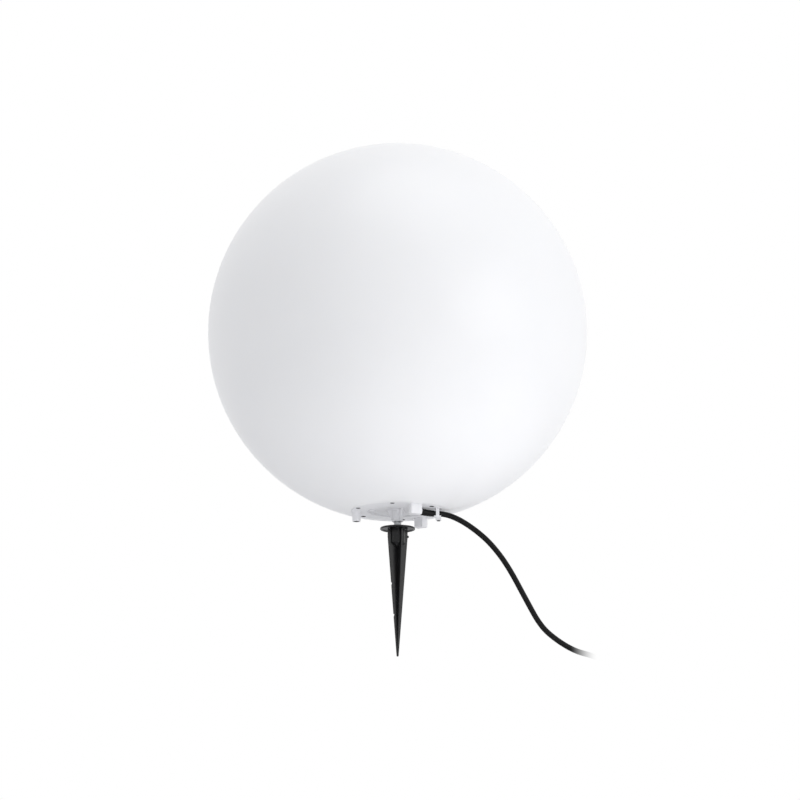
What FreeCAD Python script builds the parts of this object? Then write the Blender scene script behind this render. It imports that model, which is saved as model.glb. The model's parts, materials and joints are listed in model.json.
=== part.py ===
import FreeCAD, Part

# Garden globe light: an opal globe on a round base plate, a ground spike that screws onto a
# threaded stud under the plate, a screw-cap bulb in a lamp holder, and a rubber mains lead.
# Millimetres, +Z up, origin at the tip of the spike. The lead leaves towards +X.
import math
import os

from FreeCAD import Vector as V

# ---- Ground spike -------------------------------------------------------------------------
spike_length = 170.0        # tip to the underside of the stop disc
spike_tip_r = 1.2           # reach of the four fins at the tip
spike_top_r = 14.2          # reach of the four fins under the disc
fin_straight = 10.0         # the fins run straight over this height and taper below it
fin_thickness = 2.3
fin_turn = 25.0             # the cross of fins is turned this far about Z, in degrees
disc_r = 23.0
disc_t = 2.4
disc_dish = 1.0             # the stop disc's underside is dished by this depth
disc_rim_w = 2.2            # width of the flat rim round the dish
collar_r = 10.0             # round socket between the fins
collar_depth = 18.0
collar_cone = 5.0           # the socket closes below in a cone of this height
knob_reach = 1.7            # small moulded knob on one fin
knob_height = 3.0
knob_drop = 8.5             # below the disc
barb_depth = 1.3            # two notches in one fin hold the spike in the soil
barb_height = 4.0
barb_drops = (71.5, 113.5)  # below the disc

# ---- Threaded stud between the base plate and the spike -------------------------------------
stud_r = 5.0
thread_pitch = 1.5          # the spike drops by this height in one turn
stud_show = 8.0             # stud that shows between the spike's disc and the plate's boss
thread_turns = 9.25         # turns of thread that hold the spike
socket_bottom = 3.0         # plastic left under the socket's bore
turn_fit = 0.08             # radial clearance of the stud in the spike's socket
bore_fit = 0.1              # radial clearance of fixed pieces in their holes
washer_r = 10.0
washer_t = 1.5
nut_across = 17.0
nut_h = 6.0
stud_over = 2.0             # stud that stands out of the upper nut
stud_bevel = 0.8
tag_t = 0.8                 # earth tag under the nut
tag_r = 8.0
tag_w = 5.0
tag_reach = 13.0

# ---- Base plate ---------------------------------------------------------------------------
plate_r = 61.0
plate_t = 3.0
plate_edge = 0.8            # rounding of the plate's lower edge
recess_r = 39.6             # round recess in the plate's underside
recess_depth = 2.0
upstand_r = 47.0            # ring that stands up into the globe's neck
upstand_wall = 2.5
upstand_h = 10.0
boss_r = 7.0
boss_h = 14.1
gusset_reach = 14.5
gusset_t = 2.4
recess_mark_r = 4.9         # small moulded ring in the recess
recess_mark_wall = 1.2
recess_mark_h = 0.8
recess_mark_at = (-34.0, 2.6)
foot_h = 13.0
foot_inner = 48.0           # nearest and farthest reach of a foot from the axis
foot_outer = 58.5
foot_w_inner = 13.4
foot_w_outer = 16.2
foot_corner = 1.2
near_foot_angle = 295.5     # degrees
far_foot_angle = 55.5
post_angle = 176.6          # two feet and the left post share the circle, and each has its gusset
post_r = 5.3                # at its lower end
post_root_r = 5.8
post_bore_r = 4.0
post_bore_depth = 9.0
post_circle = 54.3
clip_post_at = (54.0, -1.0)
clip_post_r = 3.4
clip_post_h = 11.0
clip_post_bore = 9.0
plate_screw_circle = 56.3
plate_screw_turn = 23.0     # degrees
plate_screw_count = 6
plate_screw_r = 2.0
plate_head_r = 2.9
plate_head_h = 1.5
head_gap = 0.3              # gap round a sunk screw head
pad_r = 5.0                 # the plate's pads under the flange, one for each screw
slot_w = 0.8
slot_depth = 0.7

# ---- Globe --------------------------------------------------------------------------------
globe_r = 250.0
globe_wall = 3.0
globe_mouth_r = 68.2        # the globe is cut flat at this radius
mouth_round = 3.0           # width of the rounding between the cut and the ball
neck_r = 48.0
flange_t = 4.0
plate_gap = 0.4             # round the plate, in the globe's seat
seat_bevel = 0.6
gasket_t = 1.5
gasket_w = 2.8
gasket_play = 1.2           # between the gasket and the plate's upstand
screw_boss_r = 4.5
screw_boss_h = 9.0
pilot_gap = 0.3

# ---- Lamp holder and bulb -------------------------------------------------------------------
bracket_w = 16.0
bracket_t = 1.5
bracket_half = 27.0         # half the bridge's span
bracket_foot = 12.0
bracket_rise = 16.5         # from the plate's floor to the bridge
bracket_screw_r = 1.8
bracket_head_r = 3.3
bracket_head_h = 2.0
bracket_pad_r = 4.0
bracket_pad_h = 3.0
nipple_r = 5.0
nipple_bore = 3.4
nipple_nut_across = 14.0
nipple_nut_h = 2.6
cap_r = 18.5
cap_h = 15.0
holder_r = 20.0
holder_h = 30.0
holder_rib_count = 24
holder_rib_w = 1.6
insert_t = 3.0
shell_r = 14.3              # lamp holder's brass screw shell, outside
shell_t = 0.4
shell_h = 22.0
bulb_cap_r = 13.2
bulb_cap_h = 25.0
bulb_length = 110.0
bulb_neck_r = 14.0
bulb_r = 30.0
bulb_body_h = 36.0
bulb_wall = 1.5
contact_r = 4.5
contact_h = 2.0
led_board_r = 20.0
led_board_t = 1.6
led_size = 3.0
led_count = 10

# ---- Terminal block and inner wires -----------------------------------------------------------
block_l = 27.0
block_w = 14.0
block_h = 11.0
block_y = 29.0
pole_pitch = 9.0
pole_r = 1.6
pole_rise = 4.5             # wire holes above the plate's floor
clamp_r = 1.6
clamp_offset = 3.5          # clamping screws from the middle of the block
core_r = 1.15
core_bend = 3.0
core_spacing = 2.45
lead_entry_x = 4.0          # wire holes in the holder's side, either side of the middle
sheath_riser = 6.0          # sheathed lead that stands up inside the base plate

# ---- Mains lead -----------------------------------------------------------------------------
cord_d = 7.4
duct_wall = 1.4
duct_gap = 0.15
duct_bend = 9.0
duct_straight = 4.0
sleeve_length = 20.2
sleeve_wall_big = 1.1
sleeve_wall_small = 0.35
hang_route = (              # X, Y and how far below the plate's underside
    (30.0, -26.6, 5.3),
    (42.5, -19.0, 7.0),
    (61.5, -11.5, 5.4),
    (81.0, -9.0, 12.3),
    (103.0, -8.2, 26.9),
    (124.0, -8.0, 45.9),
    (145.5, -7.5, 75.0),
    (168.0, -7.5, 118.0),
)
ground_route = (            # X, Y and height
    (188.0, -8.0, 39.0),
    (209.0, -7.0, 20.5),
    (233.0, -1.5, 7.0),
    (256.0, 14.0, 3.9),
    (269.0, 44.0, 3.9),
    (266.0, 80.0, 3.9),
    (248.0, 116.0, 3.9),
    (218.0, 147.0, 4.1),
    (184.0, 171.0, 4.4),
    (148.0, 190.6, 4.9),
    (112.4, 190.6, 4.9),
)
coil_centre = (105.0, 130.0)
coil_outer = 60.6           # centre line of the outermost turn
coil_turns = 4.0            # turns in each of the two layers
coil_pitch = 7.85           # from turn to turn and from layer to layer
coil_z = 4.9
tail_route = (
    (97.6, 190.6, 12.75),
    (64.0, 190.6, 12.75),
    (26.0, 190.6, 18.8),
    (-12.0, 190.6, 18.8),
)
tie_w = 9.0
tie_t = 0.8
tie_gap = 0.2
tie_angles = (-75.0, 15.0)

# ---- Mains plug -----------------------------------------------------------------------------
plug_r = 18.6
plug_length = 42.0
plug_nose = 12.0
plug_grip_r = 13.0
plug_back_r = 9.0
boot_length = 20.0
boot_r = 6.2
pin_r = 2.4
pin_length = 19.0
pin_spacing = 19.0
pin_root = 10.0             # length of the pins inside the plug
earth_w = 7.0
earth_t = 1.2
earth_inset = 0.6
earth_hole_r = 2.4
earth_hole_up = 10.0

# ---- Cord clip at the right post --------------------------------------------------------------
clip_t = 1.5
clip_w = 4.4                # strap over the front of the lead
clip_tongue_w = 9.2
clip_tongue_end = 6.0
clip_x = 52.7
clip_front_y = -21.7
clip_knee_drop = 10.9       # the knee's height below the plate
clip_hole_r = 1.7
clip_head_r = 2.2
clip_head_h = 0.7

# ---- Levels and places worked out from the sizes above ------------------------------------------
disc_top = spike_length + disc_t
boss_z = disc_top + stud_show
plate_z = boss_z + boss_h
plate_top = plate_z + plate_t
floor_top = plate_z + recess_depth + plate_t
flange_z = plate_top + gasket_t
globe_z = plate_z + math.sqrt(globe_r ** 2 - globe_mouth_r ** 2)
foot_z = plate_z - foot_h
clip_post_z = plate_z - clip_post_h
clip_knee_z = plate_z - clip_knee_drop
stud_low = disc_top - thread_turns * thread_pitch
fin_taper_z = spike_length - fin_straight
barb_levels = sorted(spike_length - drop for drop in barb_drops)
knob_z = spike_length - knob_drop
socket_low = spike_length - collar_depth + socket_bottom
nut_z = floor_top + washer_t + tag_t
stud_high = nut_z + nut_h + stud_over
bridge_z = floor_top + bracket_rise
bridge_top = bridge_z + bracket_t
holder_z = bridge_top + cap_h
shell_z = holder_z + insert_t
bulb_z = shell_z + 1.0
bulb_cap_z = bulb_z + contact_h
bulb_body_z = bulb_cap_z + bulb_cap_h
dome_z = bulb_body_z + bulb_body_h
cord_r = cord_d / 2
coil_inner = coil_outer - coil_turns * coil_pitch
cord_route = [(x, y, plate_z - drop) for x, y, drop in hang_route] + list(ground_route)
foot_angles = (near_foot_angle, far_foot_angle)
plug_at = tail_route[-1]
plug_face_x = plug_at[0] - plug_length


# ---- Small helpers ----------------------------------------------------------------------------
def save(node, *solids):
    """Write the solids of one node to its own file."""
    shape = solids[0] if len(solids) == 1 else Part.makeCompound(list(solids))
    shape.exportStep("parts/" + node + ".step")
    bounds = shape.BoundBox
    print(f"{node:22s} solids {len(shape.Solids):2d} valid {shape.isValid()} "
          f"z {bounds.ZMin:7.2f} {bounds.ZMax:7.2f} volume {shape.Volume:10.1f}")
    return shape


def rod(radius, low, high, x=0.0, y=0.0):
    """An upright cylinder between two heights."""
    return Part.makeCylinder(radius, high - low, V(x, y, low))


def ring(outer, inner, low, high, x=0.0, y=0.0):
    """An upright tube between two heights."""
    return rod(outer, low, high, x, y).cut(rod(inner, low - 1, high + 1, x, y))


def hexagon(across, low, high):
    """A hexagonal prism on the Z axis."""
    corner = across / math.sqrt(3)
    points = [V(corner * math.cos(math.radians(60 * i)), corner * math.sin(math.radians(60 * i)), low)
              for i in range(7)]
    return Part.Face(Part.makePolygon(points)).extrude(V(0, 0, high - low))


def revolved(edges):
    """The solid of a closed profile in the XZ plane turned about Z."""
    return Part.Face(Part.Wire(edges)).revolve(V(0, 0, 0), V(0, 0, 1), 360)


def lines(points):
    """Straight edges through points given as (radius, height)."""
    corners = [V(r, 0, z) for r, z in points]
    return [Part.makeLine(a, b) for a, b in zip(corners, corners[1:])]


def lathe(points):
    """A turned solid from its closed outline, given as (radius, height) corners."""
    return revolved(lines(list(points) + [points[0]]))


def prism(points, low, high):
    """An upright prism from its plan outline."""
    corners = [V(x, y, low) for x, y in list(points) + [points[0]]]
    return Part.Face(Part.makePolygon(corners)).extrude(V(0, 0, high - low))


def turned(shape, degrees, x=0.0, y=0.0):
    """A copy turned about an upright axis."""
    copy = shape.copy()
    copy.rotate(V(x, y, 0), V(0, 0, 1), degrees)
    return copy


def polar(radius, degrees):
    """The X and Y of a point at a radius and an angle."""
    return radius * math.cos(math.radians(degrees)), radius * math.sin(math.radians(degrees))


def fuse(first, *others):
    """One solid from several that touch."""
    return first.multiFuse(list(others)).removeSplitter()


def rounded_path(points, bend=None):
    """Straight runs joined by tangent arcs; a bend radius, or arcs as large as the runs allow."""
    corners = [V(*p) for p in points]
    edges, radii, start = [], [], corners[0]
    for before, corner, after in zip(corners, corners[1:], corners[2:]):
        back, ahead = (before - corner), (after - corner)
        shorter = min(back.Length, ahead.Length)
        back.normalize()
        ahead.normalize()
        half_turn = (math.pi - back.getAngle(ahead)) / 2
        reach = bend * math.tan(half_turn) if bend else 0.45 * shorter
        radius = reach / math.tan(half_turn)
        radii.append(radius)
        enter, leave = corner + back * reach, corner + ahead * reach
        inward = back + ahead
        inward.normalize()
        middle = corner + inward * (radius / math.cos(half_turn) - radius)
        edges.append(Part.LineSegment(start, enter).toShape())
        edges.append(Part.Arc(enter, middle, leave).toShape())
        start = leave
    edges.append(Part.LineSegment(start, corners[-1]).toShape())
    return Part.Wire(edges), radii


def swept(path, radius):
    """A round tube of a radius along a path."""
    first = path.Edges[0]
    start = first.valueAt(first.FirstParameter)
    along = first.tangentAt(first.FirstParameter)
    section = Part.Wire([Part.makeCircle(radius, start, along)])
    return path.makePipeShell([section], True, False)


def opening_run(path, length):
    """The first part of a path of straight runs and arcs."""
    edges, left = [], length
    for edge in path.Edges:
        share = min(left / edge.Length, 1)
        end = edge.FirstParameter + share * (edge.LastParameter - edge.FirstParameter)
        edges.append(edge.Curve.toShape(edge.FirstParameter, end))
        left -= edge.Length
        if left <= 0:
            break
    return Part.Wire(edges)


def tapered(path, first_radius, last_radius):
    """A round tube along a path, with a radius at each end."""
    first, last = path.Edges[0], path.Edges[-1]
    sections = [Part.Wire([Part.makeCircle(radius, edge.valueAt(at), edge.tangentAt(at))])
                for radius, edge, at in ((first_radius, first, first.FirstParameter),
                                         (last_radius, last, last.LastParameter))]
    return path.makePipeShell(sections, True, False)


def cord_tube(name, points, diameter, bend=None):
    """A length of cord; prints its length, its tightest radius and how true its volume is."""
    path, radii = rounded_path(points, bend)
    tube = swept(path, diameter / 2)
    true_volume = math.pi * diameter ** 2 / 4 * path.Length
    print(f"{name}: length {path.Length:.1f}, volume ratio {tube.Volume / true_volume:.4f}, radii "
          + " ".join(f"{r:.0f}" for r in radii))
    return tube


# ---- Spike ------------------------------------------------------------------------------------
def fin(degrees, extra=()):
    """One tapered fin of the spike from the axis outwards, with its edge points in order."""
    into_disc = spike_length + disc_dish + 0.3
    edge = [(0, 0), (spike_tip_r * 0.5, 0), (spike_tip_r, spike_tip_r), *extra, (spike_top_r, fin_taper_z),
            (spike_top_r, into_disc), (0, into_disc)]
    corners = [V(r, -fin_thickness / 2, z) for r, z in edge + edge[:1]]
    blade = Part.Face(Part.makePolygon(corners)).extrude(V(0, fin_thickness, 0))
    return turned(blade, degrees)


def fin_reach(z):
    """How far a fin reaches from the axis at a height."""
    return spike_tip_r + (spike_top_r - spike_tip_r) * min(z / fin_taper_z, 1)


def barb_points():
    """Notches: the edge steps in under each barb and slopes back out below it."""
    points = []
    for level in barb_levels:
        points += [(fin_reach(level - barb_height), level - barb_height),
                   (fin_reach(level) - barb_depth, level), (fin_reach(level), level)]
    return points


def ground_spike():
    """Cross of fins with a round threaded socket and a stop disc."""
    disc = lathe([(0, spike_length), (collar_r, spike_length), (collar_r + 1, spike_length + disc_dish),
                  (disc_r - disc_rim_w - 1, spike_length + disc_dish), (disc_r - disc_rim_w, spike_length),
                  (disc_r - 0.5, spike_length), (disc_r, spike_length + 0.5), (disc_r, disc_top - 0.5),
                  (disc_r - 0.5, disc_top), (0, disc_top)])
    low = spike_length - collar_depth
    socket = lathe([(0, low - collar_cone), (collar_r * 0.45, low - collar_cone), (collar_r, low),
                    (collar_r, spike_length + disc_dish), (0, spike_length + disc_dish)])
    fins = [fin(fin_turn + 180, barb_points())] + [fin(fin_turn + 90 * i) for i in (0, 1, 3)]
    kx, ky = polar(spike_top_r - 1, fin_turn)
    knob = turned(Part.makeBox(1 + knob_reach, fin_thickness, knob_height,
                               V(kx, ky - fin_thickness / 2, knob_z - knob_height / 2)), fin_turn, kx, ky)
    body = fuse(disc, socket, *fins, knob)
    return body.cut(rod(stud_r + turn_fit, socket_low, disc_top + 1))


def earth_tag():
    """Ring terminal under the stud's nut with a tongue for the earth wire."""
    tongue = Part.makeBox(tag_w, tag_reach, tag_t, V(-tag_w / 2, 0, nut_z - tag_t))
    eye = rod(tag_r, nut_z - tag_t, nut_z)
    return fuse(eye, tongue).cut(rod(stud_r + bore_fit, nut_z - tag_t - 1, nut_z + 1))


# ---- Base plate -------------------------------------------------------------------------------
def duct_route():
    """The lead's way in: along the exit's line, then up through the plate's floor."""
    first, second = V(*cord_route[0]), V(*cord_route[1])
    inward = first - second
    inward.normalize()
    corner = first + inward * (duct_straight + duct_bend)
    return (tuple(first), tuple(corner), (corner.x, corner.y, floor_top + sheath_riser))


def foot(degrees):
    """A sector-shaped foot with rounded corners."""
    plan = [(foot_inner, -foot_w_inner / 2), (foot_outer, -foot_w_outer / 2),
            (foot_outer, foot_w_outer / 2), (foot_inner, foot_w_inner / 2)]
    block = prism(plan, foot_z, plate_z + 1)
    upright = [e for e in block.Edges if abs(e.tangentAt(e.FirstParameter).z) > 0.99]
    return turned(block.makeFillet(foot_corner, upright), degrees)


def gusset(degrees):
    """A triangular web between the boss and the plate."""
    corners = [V(0, -gusset_t / 2, boss_z + 0.6), V(boss_r, -gusset_t / 2, boss_z + 0.6),
               V(gusset_reach, -gusset_t / 2, plate_z + recess_depth),
               V(gusset_reach, -gusset_t / 2, plate_z + recess_depth + 1),
               V(0, -gusset_t / 2, plate_z + recess_depth + 1)]
    web = Part.Face(Part.makePolygon(corners + corners[:1])).extrude(V(0, gusset_t, 0))
    return turned(web, degrees)


def base_plate():
    """Round plate with its recess, upstand, central boss, feet, posts and the lead's duct."""
    wall_in = upstand_r - upstand_wall
    disc = lathe([(0, plate_z + recess_depth), (recess_r, plate_z + recess_depth), (recess_r, plate_z),
                  (plate_r - plate_edge, plate_z), (plate_r, plate_z + plate_edge), (plate_r, plate_top),
                  (upstand_r, plate_top), (upstand_r, plate_top + upstand_h),
                  (wall_in, plate_top + upstand_h), (wall_in, floor_top), (0, floor_top)])
    boss = rod(boss_r, boss_z, floor_top)
    webs = [gusset(angle) for angle in (*foot_angles, post_angle)]
    feet = [foot(angle) for angle in foot_angles]
    post_at = polar(post_circle, post_angle)
    post = Part.makeCone(post_r, post_root_r, foot_h + 1, V(*post_at, foot_z))
    clip_post = rod(clip_post_r, clip_post_z, plate_z + 1, *clip_post_at)
    recess_z = plate_z + recess_depth
    mark = ring(recess_mark_r, recess_mark_r - recess_mark_wall, recess_z - recess_mark_h, recess_z + 1,
                *recess_mark_at)
    pads = [rod(pad_r, plate_top - 1, flange_z - pilot_gap, *polar(plate_screw_circle, angle))
            for angle in screw_angles()]
    bracket_pads = [rod(bracket_pad_r, floor_top - 1, floor_top + bracket_pad_h, side * bracket_screw_x())
                    for side in (-1, 1)]
    duct = swept(rounded_path(duct_route(), duct_bend)[0], cord_r + duct_wall)
    body = fuse(disc, boss, *webs, *feet, post, clip_post, mark, *pads, *bracket_pads, duct)
    holes = [rod(stud_r + bore_fit, boss_z - 1, floor_top + 1)]
    holes.append(swept(rounded_path(duct_route(), duct_bend)[0], cord_r + duct_gap))
    holes.append(rod(post_bore_r, foot_z - 1, foot_z + post_bore_depth, *post_at))
    holes.append(rod(clip_hole_r, clip_post_z - 1, clip_post_z + clip_post_bore, *clip_post_at))
    for angle in screw_angles():
        at = polar(plate_screw_circle, angle)
        holes.append(rod(plate_screw_r + bore_fit, plate_z - 1, flange_z + 1, *at))
        holes.append(rod(plate_head_r + head_gap, plate_z - 1, plate_z + plate_head_h + head_gap, *at))
    for side in (-1, 1):
        x = side * bracket_screw_x()
        holes.append(rod(bracket_screw_r + bore_fit, floor_top - 1.5, floor_top + 4, x))
    return body.cut(Part.makeCompound(holes))


def screw_angles():
    """The directions of the plate's screws."""
    return [plate_screw_turn + 360 / plate_screw_count * i for i in range(plate_screw_count)]


def plate_screws():
    """Pan-head screws that hold the globe on the plate, sunk in the plate's underside."""
    screws = []
    for angle in screw_angles():
        at = polar(plate_screw_circle, angle)
        under = plate_z + head_gap
        head = rod(plate_head_r, under, under + plate_head_h, *at)
        shank = rod(plate_screw_r, under, flange_z + flange_t + screw_boss_h - 4, *at)
        slot = Part.makeBox(1.5 * plate_head_r, slot_w, 2 * slot_depth,
                            V(at[0] - 0.75 * plate_head_r, at[1] - slot_w / 2, under - slot_depth))
        cross = turned(slot, 90, *at)
        screws.append(fuse(head, shank).cut(slot).cut(cross))
    return screws


# ---- Globe ------------------------------------------------------------------------------------
def on_ball(radius, x):
    """The height of the ball's lower half at a distance from the axis."""
    return globe_z - math.sqrt(radius ** 2 - x ** 2)


def globe_shell():
    """Ball with a flat cut mouth, a seat for the plate, an inner flange and six screw bosses."""
    inner_r = globe_r - globe_wall
    seat_r = plate_r + plate_gap
    flange_top = flange_z + flange_t
    inner_x = math.sqrt(inner_r ** 2 - (globe_z - flange_top) ** 2)
    far_x = globe_mouth_r + mouth_round
    rim = V(globe_mouth_r - mouth_round, 0, plate_z)
    rim_end = V(far_x, 0, on_ball(globe_r, far_x))
    rim_mid = V(globe_mouth_r, 0, plate_z + (rim_end.z - plate_z) * 0.28)
    diagonal = math.sqrt(0.5)
    edges = lines([(inner_x, flange_top), (neck_r, flange_top), (neck_r, flange_z), (seat_r, flange_z),
                   (seat_r, plate_z + seat_bevel), (seat_r + seat_bevel, plate_z)])
    edges.append(Part.makeLine(V(seat_r + seat_bevel, 0, plate_z), rim))
    edges.append(Part.Arc(rim, rim_mid, rim_end).toShape())
    edges.append(Part.Arc(rim_end, V(globe_r, 0, globe_z), V(0, 0, globe_z + globe_r)).toShape())
    edges.append(Part.makeLine(V(0, 0, globe_z + globe_r), V(0, 0, globe_z + inner_r)))
    edges.append(Part.Arc(V(0, 0, globe_z + inner_r),
                          V(inner_r * diagonal, 0, globe_z - inner_r * diagonal),
                          V(inner_x, 0, flange_top)).toShape())
    shell = revolved(edges)
    bosses, pilots = [], []
    for angle in screw_angles():
        at = polar(plate_screw_circle, angle)
        bosses.append(rod(screw_boss_r, flange_top - 1, flange_top + screw_boss_h, *at))
        pilots.append(rod(plate_screw_r + pilot_gap, flange_z - 1, flange_top + screw_boss_h - 2, *at))
    return fuse(shell, *bosses).cut(Part.makeCompound(pilots))


# ---- Lamp holder ------------------------------------------------------------------------------
def bracket_screw_x():
    """Distance of the bracket's screws from the axis."""
    return bracket_half + bracket_foot / 2 + 1


def holder_bracket():
    """A bent steel strip that bridges the stud's nut and carries the lamp holder."""
    foot_level = floor_top + bracket_pad_h
    outer, far = bracket_half + bracket_t, bracket_half + bracket_t + bracket_foot
    outline = [(-far, foot_level), (-bracket_half, foot_level), (-bracket_half, bridge_z),
               (bracket_half, bridge_z), (bracket_half, foot_level), (far, foot_level),
               (far, foot_level + bracket_t), (outer, foot_level + bracket_t), (outer, bridge_top),
               (-outer, bridge_top), (-outer, foot_level + bracket_t), (-far, foot_level + bracket_t)]
    corners = [V(x, -bracket_w / 2, z) for x, z in outline + outline[:1]]
    strip = Part.Face(Part.makePolygon(corners)).extrude(V(0, bracket_w, 0))
    holes = [rod(nipple_r + bore_fit, bridge_z - 1, bridge_top + 1)]
    for side in (-1, 1):
        x = side * bracket_screw_x()
        holes.append(rod(bracket_screw_r + bore_fit, foot_level - 1, foot_level + 3, x))
    return strip.cut(Part.makeCompound(holes))


def bracket_screws():
    """Two screws through the bracket's feet into the plate's pads."""
    level = floor_top + bracket_pad_h + bracket_t
    return [fuse(rod(bracket_screw_r, floor_top - 1, level + 1, side * bracket_screw_x()),
                 rod(bracket_head_r, level, level + bracket_head_h, side * bracket_screw_x()))
            for side in (-1, 1)]


def holder_sleeve():
    """Ribbed skirt of the lamp holder round the screw shell."""
    top = holder_z + holder_h
    skirt = ring(holder_r - 0.8, shell_r + bore_fit, holder_z, top)
    rib = Part.makeBox(holder_rib_w, holder_rib_w, holder_h - 8,
                       V(holder_r - holder_rib_w, -holder_rib_w / 2, holder_z + 2))
    ribs = [turned(rib, 360 / holder_rib_count * i) for i in range(holder_rib_count)]
    collar = ring(holder_r, holder_r - 2, top - 4, top)
    return fuse(skirt, collar, *ribs)


def holder_cap():
    """Domed lower part of the lamp holder with its threaded neck."""
    wall = 2.5
    outer = lathe([(nipple_r + bore_fit, bridge_top), (8.5, bridge_top), (9.0, bridge_top + 4),
                   (cap_r - 3, bridge_top + 7), (cap_r, bridge_top + 10), (cap_r, holder_z),
                   (cap_r - wall, holder_z), (cap_r - wall, bridge_top + 10.5),
                   (cap_r - 4.5, bridge_top + 9), (nipple_r + bore_fit, bridge_top + 8)])
    wire_holes = [Part.makeCylinder(core_r + 0.2, 12, V(side * lead_entry_x, cap_r - 6, lead_entry_z()),
                                    V(0, 1, 0)) for side in (-1, 1)]
    return outer.cut(Part.makeCompound(wire_holes))


def lead_entry_z():
    """Height of the two wire holes in the holder's side."""
    return bridge_top + 0.8 * cap_h


def centre_contact():
    """Sprung brass tongue under the bulb's tip."""
    low = holder_z + insert_t
    tongue = Part.makeBox(15, 5, 0.5, V(-7.5, -2.5, low))
    pip = rod(1.5, low + 0.5, bulb_z)
    return fuse(tongue, pip)


# ---- Bulb -------------------------------------------------------------------------------------
def bulb_body():
    """Flared lower half of the bulb with a small skirt over its cap."""
    return lathe([(0, bulb_body_z), (bulb_neck_r, bulb_body_z), (bulb_neck_r + 1, bulb_body_z + 4),
                  (bulb_neck_r + 5.5, bulb_body_z + 18), (bulb_r - 2, dome_z - 3), (bulb_r - 1, dome_z),
                  (0, dome_z)])


def bulb_diffuser():
    """Opal dome: a straight skirt and half a ball on it, hollow inside."""
    ball_z = bulb_z + bulb_length - bulb_r

    def dome(inset):
        """The corners of one wall of the dome, inset from the outside."""
        r = bulb_r - inset
        slant = r * math.sqrt(0.5)
        return V(r, 0, dome_z), V(r, 0, ball_z), V(slant, 0, ball_z + slant), V(0, 0, ball_z + r)

    low, side, mid, crown = dome(0)
    low_in, side_in, mid_in, crown_in = dome(bulb_wall)
    return revolved([Part.makeLine(low, side), Part.Arc(side, mid, crown).toShape(),
                     Part.makeLine(crown, crown_in), Part.Arc(crown_in, mid_in, side_in).toShape(),
                     Part.makeLine(side_in, low_in), Part.makeLine(low_in, low)])


def led_board():
    """Round board with a ring of small square light sources."""
    board = rod(led_board_r, dome_z, dome_z + led_board_t)
    chips = []
    for i in range(led_count):
        x, y = polar(led_board_r * 0.7, 360 / led_count * i)
        chips.append(Part.makeBox(led_size, led_size, led_size / 3,
                                  V(x - led_size / 2, y - led_size / 2, dome_z + led_board_t - 0.2)))
    return fuse(board, *chips)


# ---- Terminal block and wires -------------------------------------------------------------------
def terminal_block():
    """Three-pole block, open at both ends of each pole, with a screw hole over each end."""
    block = Part.makeBox(block_l, block_w, block_h, V(-block_l / 2, block_y - block_w / 2, floor_top))
    notch = Part.makeBox(1.2, block_w + 2, 3, V(-0.6, block_y - block_w / 2 - 1, floor_top + block_h - 2.5))
    cuts = [notch.translated(V(side * pole_pitch / 2, 0, 0)) for side in (-1, 1)]
    for i in (-1, 0, 1):
        mouth = V(i * pole_pitch, block_y - block_w / 2 - 1, pole_z())
        cuts.append(Part.makeCylinder(pole_r, block_w + 2, mouth, V(0, 1, 0)))
        for side in (-1, 1):
            cuts.append(rod(clamp_r + 0.2, pole_z(), floor_top + block_h + 1, i * pole_pitch,
                            block_y + side * clamp_offset))
    return block.cut(Part.makeCompound(cuts))


def pole_z():
    """Height of the wire holes in the terminal block."""
    return floor_top + pole_rise


def terminal_screws():
    """Slotted clamping screws, two for each pole."""
    screws = []
    for i in (-1, 0, 1):
        for side in (-1, 1):
            at = (i * pole_pitch, block_y + side * clamp_offset)
            screw = rod(clamp_r, pole_z() + core_r, floor_top + block_h - 1.5, *at)
            slot = Part.makeBox(3.4, 0.5, 0.7, V(at[0] - 1.7, at[1] - 0.25, floor_top + block_h - 2.1))
            screws.append(screw.cut(slot))
    return screws


def core(index):
    """One insulated core from the end of the sheath to a pole of the block."""
    corner = duct_route()[-1]
    x0 = corner[0] + (index - 1) * core_spacing
    x1 = 13.5 + index * 3.2
    near = block_y - block_w / 2
    pole = (index - 1) * pole_pitch
    level = corner[2] + 7.0
    return [(x0, corner[1] + 0.1, corner[2]), (x0, corner[1] + 0.1, level), (x1, -18.0, level),
            (x1, 6.0 + 3.5 * index, level - 3), (pole, near - 4.5, pole_z()), (pole, block_y, pole_z())]


def lead(side):
    """One core from the block up to the lamp holder's side."""
    pole = side * pole_pitch
    far = block_y + block_w / 2
    hole_z = lead_entry_z()
    return [(pole, block_y + 0.5, pole_z()), (pole, far + 3.8, pole_z()), (side * 7, far + 3.2, hole_z - 2),
            (side * lead_entry_x, cap_r + 8, hole_z), (side * lead_entry_x, cap_r - 1, hole_z)]


def earth_link():
    """The earth wire from the middle pole over the block to the tag on the stud."""
    far, over = block_y + block_w / 2 + 4.5, floor_top + block_h + 3.0
    tag_y = nut_across / 2 + core_r + 0.35
    return [(0, block_y + 0.5, pole_z()), (0, far, pole_z()), (0, far, over), (0, tag_y, over),
            (0, tag_y, nut_z)]


# ---- Lead, coil and plug ------------------------------------------------------------------------
def sleeve():
    """Tapered rubber sleeve that follows the lead out of its duct."""
    path = rounded_path(cord_route)[0]
    cone = tapered(opening_run(path, sleeve_length), cord_r + sleeve_wall_big, cord_r + sleeve_wall_small)
    return cone.cut(swept(opening_run(path, sleeve_length + 1), cord_r))


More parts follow.
